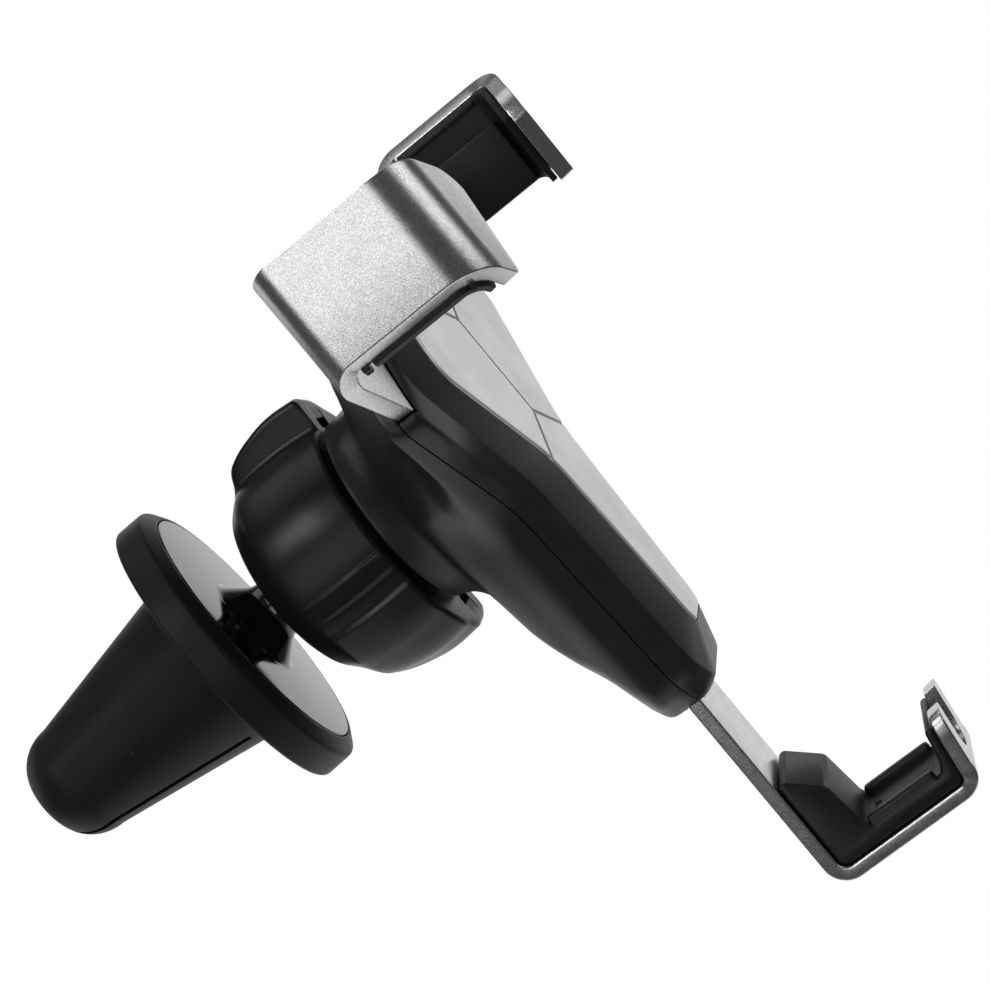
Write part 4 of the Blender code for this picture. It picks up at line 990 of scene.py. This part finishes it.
def makeArm(side, word):
    bar = barSkin(word + "ArmBar", armStations(0.0, armBar["thickness"], 0.0, 0.0, 0.0), armBar["edge"])
    x = armBar["legEndX"] + armBar["pinFromEnd"]
    carve(bar, [rod("hole", 1.47, 1.0, 7.0, (x, 0, legMiddle(x)))])
    mirrored(bar, side)
    finishPiece(bar, word + "_grip", ["blasted", "milled"], word + "_arm")


armPad = {
    "thickness": 0.8,
    "gap": 0.12,
    "topInset": 0.06,
    "hang": 0.42,
    "rearInset": 0.1,
    "lipShort": 1.7,
    "edge": 0.15,
    "sink": 0.3,  # how deep the raised forms reach into the lining
    "block": 1.1,
    "blockHeight": 9.0,
    "bead": 0.55,
    "uprightWidth": 0.7,
    "lump": (0.35, 0.95, 1.95),  # the end block: height over the face, length and width
    "notchWidth": 0.45,
    "eyeRadius": 0.28,
}


def makeArmPad(side, word):
    a, p = armBar, armPad
    near = a["thickness"] + p["gap"]
    far = near + p["thickness"]
    rear = a["rearY"] - a["rearBend"] - p["rearInset"]

    def inReach(x, y, t):  # the wall in front of the rear bend, the front bend and the lip
        return t < 0.01 and y < rear + 0.4

    stations = armStations(near, far, p["topInset"], p["hang"], p["lipShort"], keep=inReach)
    first = [Vector(c) for c in stations[0]]
    stations[0] = [Vector((c.x, rear, c.z)) for c in first]
    pad = barSkin(word + "ArmLining", stations, p["edge"], 3)
    face = a["outerX"] - far
    root = face + p["sink"]
    yFront = a["cornerY"] + a["frontBend"] * tan(radians(90 - a["flare"]) / 2)
    low = a["bottomWallZ"] - p["hang"] - armSlope * far
    top = a["topZ"] - p["topInset"] - armSlope * far
    rise, long, wide = p["lump"]
    lumpRear, lumpLow = rear + 0.05, low - 0.05
    beadFace, barRear = face - p["bead"], yFront - 1.5
    raised = (  # corners and edge rounding of the raised block, bead, upright and end block
        ((face - p["block"], yFront - 1.0, low), (root, rear - 1.6, low + p["blockHeight"]), 0.35),
        ((beadFace, yFront - 0.4, top - 0.8), (root, rear - 0.2, top - 0.1), 0.18),
        ((beadFace - 0.1, barRear - p["uprightWidth"], low - 0.1), (root + 0.2, barRear, top - 0.1), 0.2),
        ((face - rise, lumpRear - long, lumpLow), (root, lumpRear, lumpLow + wide), 0.25),
    )
    carve(pad, [easeEdges(block("raised", *corners), ease) for *corners, ease in raised], "UNION")
    notchRear = rear - 0.9
    notch = block("notch", (face - 4.0, notchRear - p["notchWidth"], low - 3.0), (face + 4.0, notchRear, low + 0.8))
    eye = rod("eye", p["eyeRadius"], -3.0, 3.0, (0, 0, 0), 24)
    carve(pad, [notch, placed(eye, 90, "X", (face + 0.1, rear - 0.45, low + 0.1))])
    mirrored(pad, side)
    finishPiece(pad, word + "_grip", ["rubber"], word + "_arm_pad")


for side, word in ((-1, "left"), (1, "right")):
    makeArm(side, word)
    makeArmPad(side, word)
print("grip arms made")


def footLine():  # outer and inner points down the strip, round both bends and up the hook
    f = footBar
    t, rear, front, b = f["thickness"], f["rearY"], f["frontY"], f["bend"]
    low = f["bottomZ"] + b
    pairs = [((rear, z), (rear - t, z)) for z in (f["topZ"], 0.0, -20.0, -40.0, low)]
    lean = atan2(f["lean"], f["tipZ"] - low)
    for y, start, sweep, first in ((rear - b, 0.0, pi / 2, 1), (front + b, pi / 2, pi / 2 + lean, 0)):
        for k in range(first, 17):
            angle = -start - sweep * k / 16
            c, s = cos(angle), sin(angle)
            pairs.append(((y + b * c, low + b * s), (y + (b - t) * c, low + (b - t) * s)))
    outer, inner = Vector(pairs[-1][0]), Vector(pairs[-1][1])
    run = Vector((-sin(lean), cos(lean)))
    length = (f["tipZ"] - outer.y) / run.y
    for part in (0.3, 0.6, 0.8, 0.88, 0.95, 1.0):
        pairs.append((tuple(outer + run * length * part), tuple(inner + run * length * part)))
    return pairs


def makeFoot():
    f = footBar
    pairs = footLine()
    stations = []
    for i, (outer, inner) in enumerate(pairs):
        left = len(pairs) - 1 - i
        wide = (f["prongWidth"] - (f["prongWidth"] - f["width"]) * smoothStep((left - 8) / 12)) / 2
        wide -= (1.1, 0.45, 0.12, 0.0)[min(left, 3)]
        stations.append([(-wide, *outer), (wide, *outer), (wide, *inner), (-wide, *inner)])
    foot = barSkin("footBarStrip", stations, f["edge"])
    gap = f["prongGap"] / 2
    notch = arcPoints((0.0, f["notchZ"] + gap), gap, 180.0, 360.0, 32)
    notch += [(gap, f["tipZ"] + 4.0), (-gap, f["tipZ"] + 4.0)]
    tools = [slab("notch", notch, f["frontY"] - 4.0, f["frontY"] + 4.0)]
    for k in range(2):
        tools.append(rod("hole", 1.3, 1.0, 9.0, (0, 0, f["topZ"] - slide["rivetDrop"] - slide["rivetPitch"] * k)))
    carve(foot, tools)
    easeEdges(foot, 0.2, 2, 60.0)
    finishPiece(foot, "foot", ["blasted", "milled"], "foot_bracket")


footPad = {
    "gap": 0.12,
    "width": 11.6,
    "floorZ": -54.2,
    "ribTop": -53.15,
    "ribWidth": 1.5,
    "lining": 1.05,
    "root": 1.4,
    "blockFront": -0.2,
    "blockEdge": (0.45, -47.5),
    "blockShoulder": (4.0, -44.25),
    "tipDrop": 1.2,
    "ribInset": 0.2,
    "markY": -1.9,
    "mark": [(0.25, -0.3), (0.36, -0.3), (0.36, 0.05), (0.31, 0.09), (0.25, 0.05)],  # a low ring's section
}


def makeFootPad():
    f, p = footBar, footPad
    t, g = f["thickness"], p["gap"]
    rear, floor, front = f["rearY"] - t - g, f["bottomZ"] + t + g, f["frontY"] + t + g
    r = f["bend"] - t - g
    lean = f["lean"] / (f["tipZ"] - f["bottomZ"] - f["bend"])
    top = f["tipZ"] - p["tipDrop"]
    lining, root, floorTop = front + p["lining"], p["root"], p["floorZ"]
    line = arcPoints((rear - r, floor + r), r, 0.0, -90.0, 8)
    line += arcPoints((front + r, floor + r), r, -90.0, -175.0, 8)
    line += [
        (front - lean * (top - floor - r) + 0.05, top),
        (lining - lean * (top - floor - r), top),
        (lining, floorTop + root),
        (lining + root * 0.4, floorTop + root * 0.3),
        (lining + root, floorTop),
        (p["blockFront"] - root * 0.5, floorTop),
        (p["blockFront"], floorTop + root * 0.5),
        p["blockEdge"],
        p["blockShoulder"],
        (rear, p["blockShoulder"][1] - 0.25),
    ]
    half = p["width"] / 2
    pad = slab("footLining", line, -half, half, axis="X")
    easeEdges(pad, 0.4, 4, 25.0)
    ribs = []
    for x in (-half + p["ribInset"], half - p["ribInset"] - p["ribWidth"]):
        rib = block("rib", (x, lining + root, floorTop - 1.0), (x + p["ribWidth"], p["blockFront"] - 0.35, p["ribTop"]))
        ribs.append(easeEdges(rib, 0.45, 4))
    carve(pad, ribs, "UNION")
    mark = turned("mark", p["mark"], 32)
    carve(pad, [placed(mark, 90, "X", (0, p["markY"], floorTop))], "UNION")
    finishPiece(pad, "foot", ["rubber"], "foot_pad")


makeFoot()
makeFootPad()
print("foot made")


def newTree(name, sockets):
    tree = bpy.data.node_groups.new(name, "GeometryNodeTree")
    tree.interface.new_socket("Geometry", in_out="INPUT", socket_type="NodeSocketGeometry")
    for label, kind in sockets:
        tree.interface.new_socket(label, in_out="INPUT", socket_type="NodeSocket" + kind)
    tree.interface.new_socket("Geometry", in_out="OUTPUT", socket_type="NodeSocketGeometry")
    return tree, addNode(tree, "NodeGroupInput").outputs


def endTree(tree, geometry, finish):
    whole = addNode(tree, "GeometryNodeRealizeInstances", None, {"Geometry": geometry}).outputs["Geometry"]
    painted = addNode(tree, "GeometryNodeSetMaterial", None, {"Geometry": whole, "Material": finish})
    addNode(tree, "NodeGroupOutput", None, {"Geometry": painted.outputs["Geometry"]})
    return tree


def rowTree():  # the same fastener repeated along a line
    sockets = [("Count", "Int"), ("Start", "Vector"), ("Pitch", "Vector")]
    sockets += [("Fastener", "Object"), ("Finish", "Material")]
    tree, given = newTree("fastenerRow", sockets)
    places = {"Count": given["Count"], "Start Location": given["Start"], "Offset": given["Pitch"]}
    line = addNode(tree, "GeometryNodeMeshLine", None, places)
    source = addNode(tree, "GeometryNodeObjectInfo", None, {"Object": given["Fastener"]})
    copies = {"Points": line.outputs["Mesh"], "Instance": source.outputs["Geometry"]}
    row = addNode(tree, "GeometryNodeInstanceOnPoints", None, copies)
    return endTree(tree, row.outputs["Instances"], given["Finish"])


def coilTree():  # round wire along a helix
    sockets = [("Turns", "Float"), ("Radius", "Float"), ("Height", "Float"), ("Wire", "Float"), ("Finish", "Material")]
    tree, given = newTree("wireCoil", sockets)
    radii = {"Start Radius": given["Radius"], "End Radius": given["Radius"]}
    path = {"Rotations": given["Turns"], "Height": given["Height"], **radii}
    helix = addNode(tree, "GeometryNodeCurveSpiral", {"Resolution": 36}, path)
    section = {"mode": "RADIUS", "Resolution": 12}
    wire = addNode(tree, "GeometryNodeCurvePrimitiveCircle", section, {"Radius": given["Wire"]})
    curves = {"Curve": helix.outputs["Curve"], "Profile Curve": wire.outputs["Curve"]}
    tube = addNode(tree, "GeometryNodeCurveToMesh", {"Fill Caps": True}, curves)
    return endTree(tree, tube.outputs["Mesh"], given["Finish"])


def growPiece(name, tree, values):
    piece = newObject(name, bpy.data.meshes.new(name))
    change = piece.modifiers.new("grow", "NODES")
    change.node_group = tree
    for item in tree.interface.items_tree:
        if item.in_out == "INPUT" and item.name in values:
            change[item.identifier] = values[item.name]
    settle(piece)
    shade(piece)
    return piece


fasteners = {
    "screwTip": 1.9,  # under the seam
    "screwSeat": 2.4,  # over the seam
    "screwHeight": 1.5,
    "crossHalf": (1.3, 0.28),
    "crossDepth": 0.9,
    "crossTurn": 20.0,
    "rivetRadius": 1.2,
    "rivetHead": 2.1,
    "rivetRise": 0.55,
}
coil = {"turns": 8.0, "radius": 2.1, "wire": 0.26, "keep": 0.55}  # keep: the spring's length when the foot is down


def makeRow(row, name, source, start, pitch, body, *nodes):
    values = {"Count": 2, "Start": start, "Pitch": pitch, "Fastener": source, "Finish": finishes["zinc"]}
    finishPiece(growPiece(name, row, values), body, ["zinc"], *nodes)
    bpy.data.objects.remove(source, do_unlink=True)


def makeFasteners():
    s, f, seam = slide, fasteners, housing["seamY"]
    row = rowTree()
    tip, seat = seam - f["screwTip"], seam + f["screwSeat"]
    top, shank = seat + f["screwHeight"], s["screwRadius"]
    corners = [((0.0, tip), 0), ((shank / 2, tip), 0), ((shank, tip + 0.6), 0), ((shank, seat), 0)]
    corners += [((s["screwHead"], seat), 0.1), ((s["screwHead"], top), 0.5), ((0.0, top), 0)]
    screw = turned("screw", softProfile(corners, 4), 64)
    blades = []
    long, half = f["crossHalf"]
    for turn in (f["crossTurn"], f["crossTurn"] + 90.0):
        blade = block("blade", (-long, top - f["crossDepth"], -half), (long, top + 1.0, half))
        blades.append(placed(blade, turn))
    carve(screw, blades)
    start, pitch = (-s["screwX"], 0.0, screwZ), (2 * s["screwX"], 0.0, 0.0)
    makeRow(row, "housingScrews", screw, start, pitch, "head", "housing_screw_left", "housing_screw_right")
    rear = footBar["rearY"] + s["gap"] + s["thickness"] + 0.08
    front = footBar["rearY"] - footBar["thickness"] + 0.1
    shank, head, top = f["rivetRadius"], f["rivetHead"], rear + f["rivetRise"]
    corners = [((0.0, front), 0), ((shank, front), 0.15), ((shank, rear), 0), ((head, rear), 0.05)]
    corners += [((head - 0.2, rear + 0.35), 0.15), ((head - 1.0, top), 0.2), ((0.0, top), 0)]
    rivet = turned("rivet", softProfile(corners, 4), 48)
    lower = footBar["topZ"] - s["rivetDrop"] - s["rivetPitch"]
    start, pitch = (0.0, 0.0, lower), (0.0, 0.0, s["rivetPitch"])
    makeRow(row, "footRivets", rivet, start, pitch, "foot", "foot_rivet_upper", "foot_rivet_lower")


def makeSpring():
    low, high = ((corner.z - housingZero.z) * 1000 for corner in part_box("return_spring"))
    wire, height = coil["wire"], high - low - 2 * coil["wire"]
    values = {"Turns": coil["turns"], "Radius": coil["radius"], "Height": height, "Wire": wire}
    values["Finish"] = finishes["zinc"]
    spring = growPiece("returnCoil", coilTree(), values)
    spring.data.transform(Matrix.Translation((0, springY, low + wire)))
    finishPiece(spring, "head", ["zinc"], "return_spring")
    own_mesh(spring)


makeFasteners()
makeSpring()
inner = {  # nodes that keep the shape of their solids
    "friction_pad": "acetal", "compression_ring": "acetal", "slide_carriage": "acetal", "spring_post": "zinc",
    "left_arm_pin": "zinc", "right_arm_pin": "zinc", "left_pin_clip": "zinc", "right_pin_clip": "zinc",
}
for node, finish in inner.items():
    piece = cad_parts[node]
    piece.data.materials.clear()
    piece.data.materials.append(finishes[finish])
print("fasteners and spring made")

studio = {
    "floorDrop": 0.16,
    "backdrop": ((0.98, 0.10, -0.12), 0.68, 0.88),  # the white wall behind: its direction, where it starts and is full
    "table": ((0.25, 0.45, -0.86), 0.58, 0.84),  # the white table under the object
    "glossyFar": 0.88,
    "glossyNear": 0.07,
    "fill": 0.5,
    "clearShare": (0.7, 1.0),  # how far the floor has turned to pure white
    "clearReach": (0.18, 0.42),  # between these distances, in metres
}
paperLook = {"dark": "#F2F2F2", "light": "#FFFFFF", "fibre": 1.2}


def makeWorld():
    world = bpy.data.worlds.new("studio")
    bpy.context.scene.world = world
    world.use_nodes = True
    tree = world.node_tree
    background = tree.nodes["Background"]
    background.inputs["Color"].default_value = (1, 1, 1, 1)
    ray = addNode(tree, "ShaderNodeLightPath").outputs
    direction = addNode(tree, "ShaderNodeTexCoord").outputs["Generated"]
    white = []
    for toward, start, full in (studio["backdrop"], studio["table"]):
        aim = {"operation": "DOT_PRODUCT", 1: toward}
        facing = addNode(tree, "ShaderNodeVectorMath", aim, {0: direction}).outputs["Value"]
        white.append(spread(tree, facing, studio["glossyNear"], studio["glossyFar"], start, full))
    glossy = maths(tree, "MAXIMUM", *white)
    shiny = maths(tree, "MAXIMUM", ray["Is Glossy Ray"], ray["Is Transmission Ray"])
    fill = {"data_type": "FLOAT", 2: studio["fill"]}
    level = addNode(tree, "ShaderNodeMix", fill, {0: shiny, 3: glossy}).outputs[0]
    backdrop = {"data_type": "FLOAT", 3: 1.0}  # pure white to the camera
    strength = addNode(tree, "ShaderNodeMix", backdrop, {0: ray["Is Camera Ray"], 2: level}).outputs[0]
    tree.links.new(strength, background.inputs["Strength"])


def makeFloor():
    bm = bmesh.new()
    bmesh.ops.create_grid(bm, x_segments=1, y_segments=1, size=3.0)
    floor = meshPiece("floor", bm)
    floor.data.transform(Matrix.Translation((0, 0, cadBox[0].z - studio["floorDrop"])))
    paper, tree, shader, place = newFinish("whitePaper", {"Roughness": 0.9, "Specular IOR Level": 0.1})
    fibre = grain(tree, place, paperLook["fibre"], 3.0)
    tree.links.new(mixColours(tree, fibre, paperLook), shader.inputs["Base Color"])
    path = addNode(tree, "ShaderNodeLightPath")
    reach = addNode(tree, "ShaderNodeVectorMath", {"operation": "LENGTH"}, {0: place}).outputs["Value"]
    clear = spread(tree, reach, *studio["clearShare"], *studio["clearReach"])  # the shadow stays near the object
    share = maths(tree, "MULTIPLY", path.outputs["Is Camera Ray"], clear)
    glow = addNode(tree, "ShaderNodeEmission", {"Color": (1, 1, 1, 1), "Strength": 1.0})
    blend = addNode(tree, "ShaderNodeMixShader", None, {0: share, 1: shader.outputs[0], 2: glow.outputs[0]})
    tree.links.new(blend.outputs[0], tree.nodes["Material Output"].inputs["Surface"])
    floor.data.materials.append(paper)
    floor.visible_glossy = False  # reflections see the studio's own light and dark sides


lamps = {  # direction from the object, distance in metres, width and height in metres, radiance
    "wallBox": ((-0.96, 0.16, 0.13), 0.60, 0.44, 0.34, 1.3),
    "rimBox": ((-0.78, 0.11, 0.62), 0.60, 0.12, 0.12, 3.0),
    "highBox": ((-0.63, 0.23, 0.74), 0.60, 0.17, 0.17, 7.5),
    "frontBox": ((-0.10, -0.98, 0.20), 0.60, 0.34, 0.40, 1.2),
    "topBox": ((0.20, 0.00, 0.98), 0.70, 0.60, 0.50, 0.8),
    "rearBox": ((0.30, 0.90, 0.35), 0.70, 0.50, 0.50, 0.7),
}


def makeLamps():
    for name, (toward, distance, width, height, radiance) in lamps.items():
        light = bpy.data.lights.new(name, "AREA")
        light.shape = "RECTANGLE"
        light.size = width
        light.size_y = height
        light.energy = radiance * pi * width * height
        lamp = newObject(name, light)
        direction = Vector(toward).normalized()
        lamp.location = direction * distance
        lamp.rotation_mode = "QUATERNION"
        lamp.rotation_quaternion = direction.to_track_quat("Z", "Y")


photoCamera = {  # where the photograph was taken from, in housing millimetres
    "place": (-302.512, -60.078, 39.068),
    "right": (0.09385, -0.76635, -0.63553),
    "down": (-0.23701, 0.60280, -0.76188),
    "lens": 102.88,
}


def makeCamera():
    data = bpy.data.cameras.new("photoCamera")
    data.lens = photoCamera["lens"]
    data.sensor_width = 36.0
    data.clip_start = 0.01
    data.clip_end = 10.0
    camera = newObject("photoCamera", data)
    right, down = (Vector(photoCamera[k]).normalized() for k in ("right", "down"))
    back = -right.cross(down)
    turn = Matrix((right, -down, back)).transposed().to_4x4()
    camera.matrix_world = Matrix.Translation(toFrame @ Vector(photoCamera["place"])) @ turn
    bpy.context.scene.camera = camera


makeWorld()
makeFloor()
makeLamps()
makeCamera()
bpy.context.scene.view_settings.view_transform = "Standard"
print("studio made")
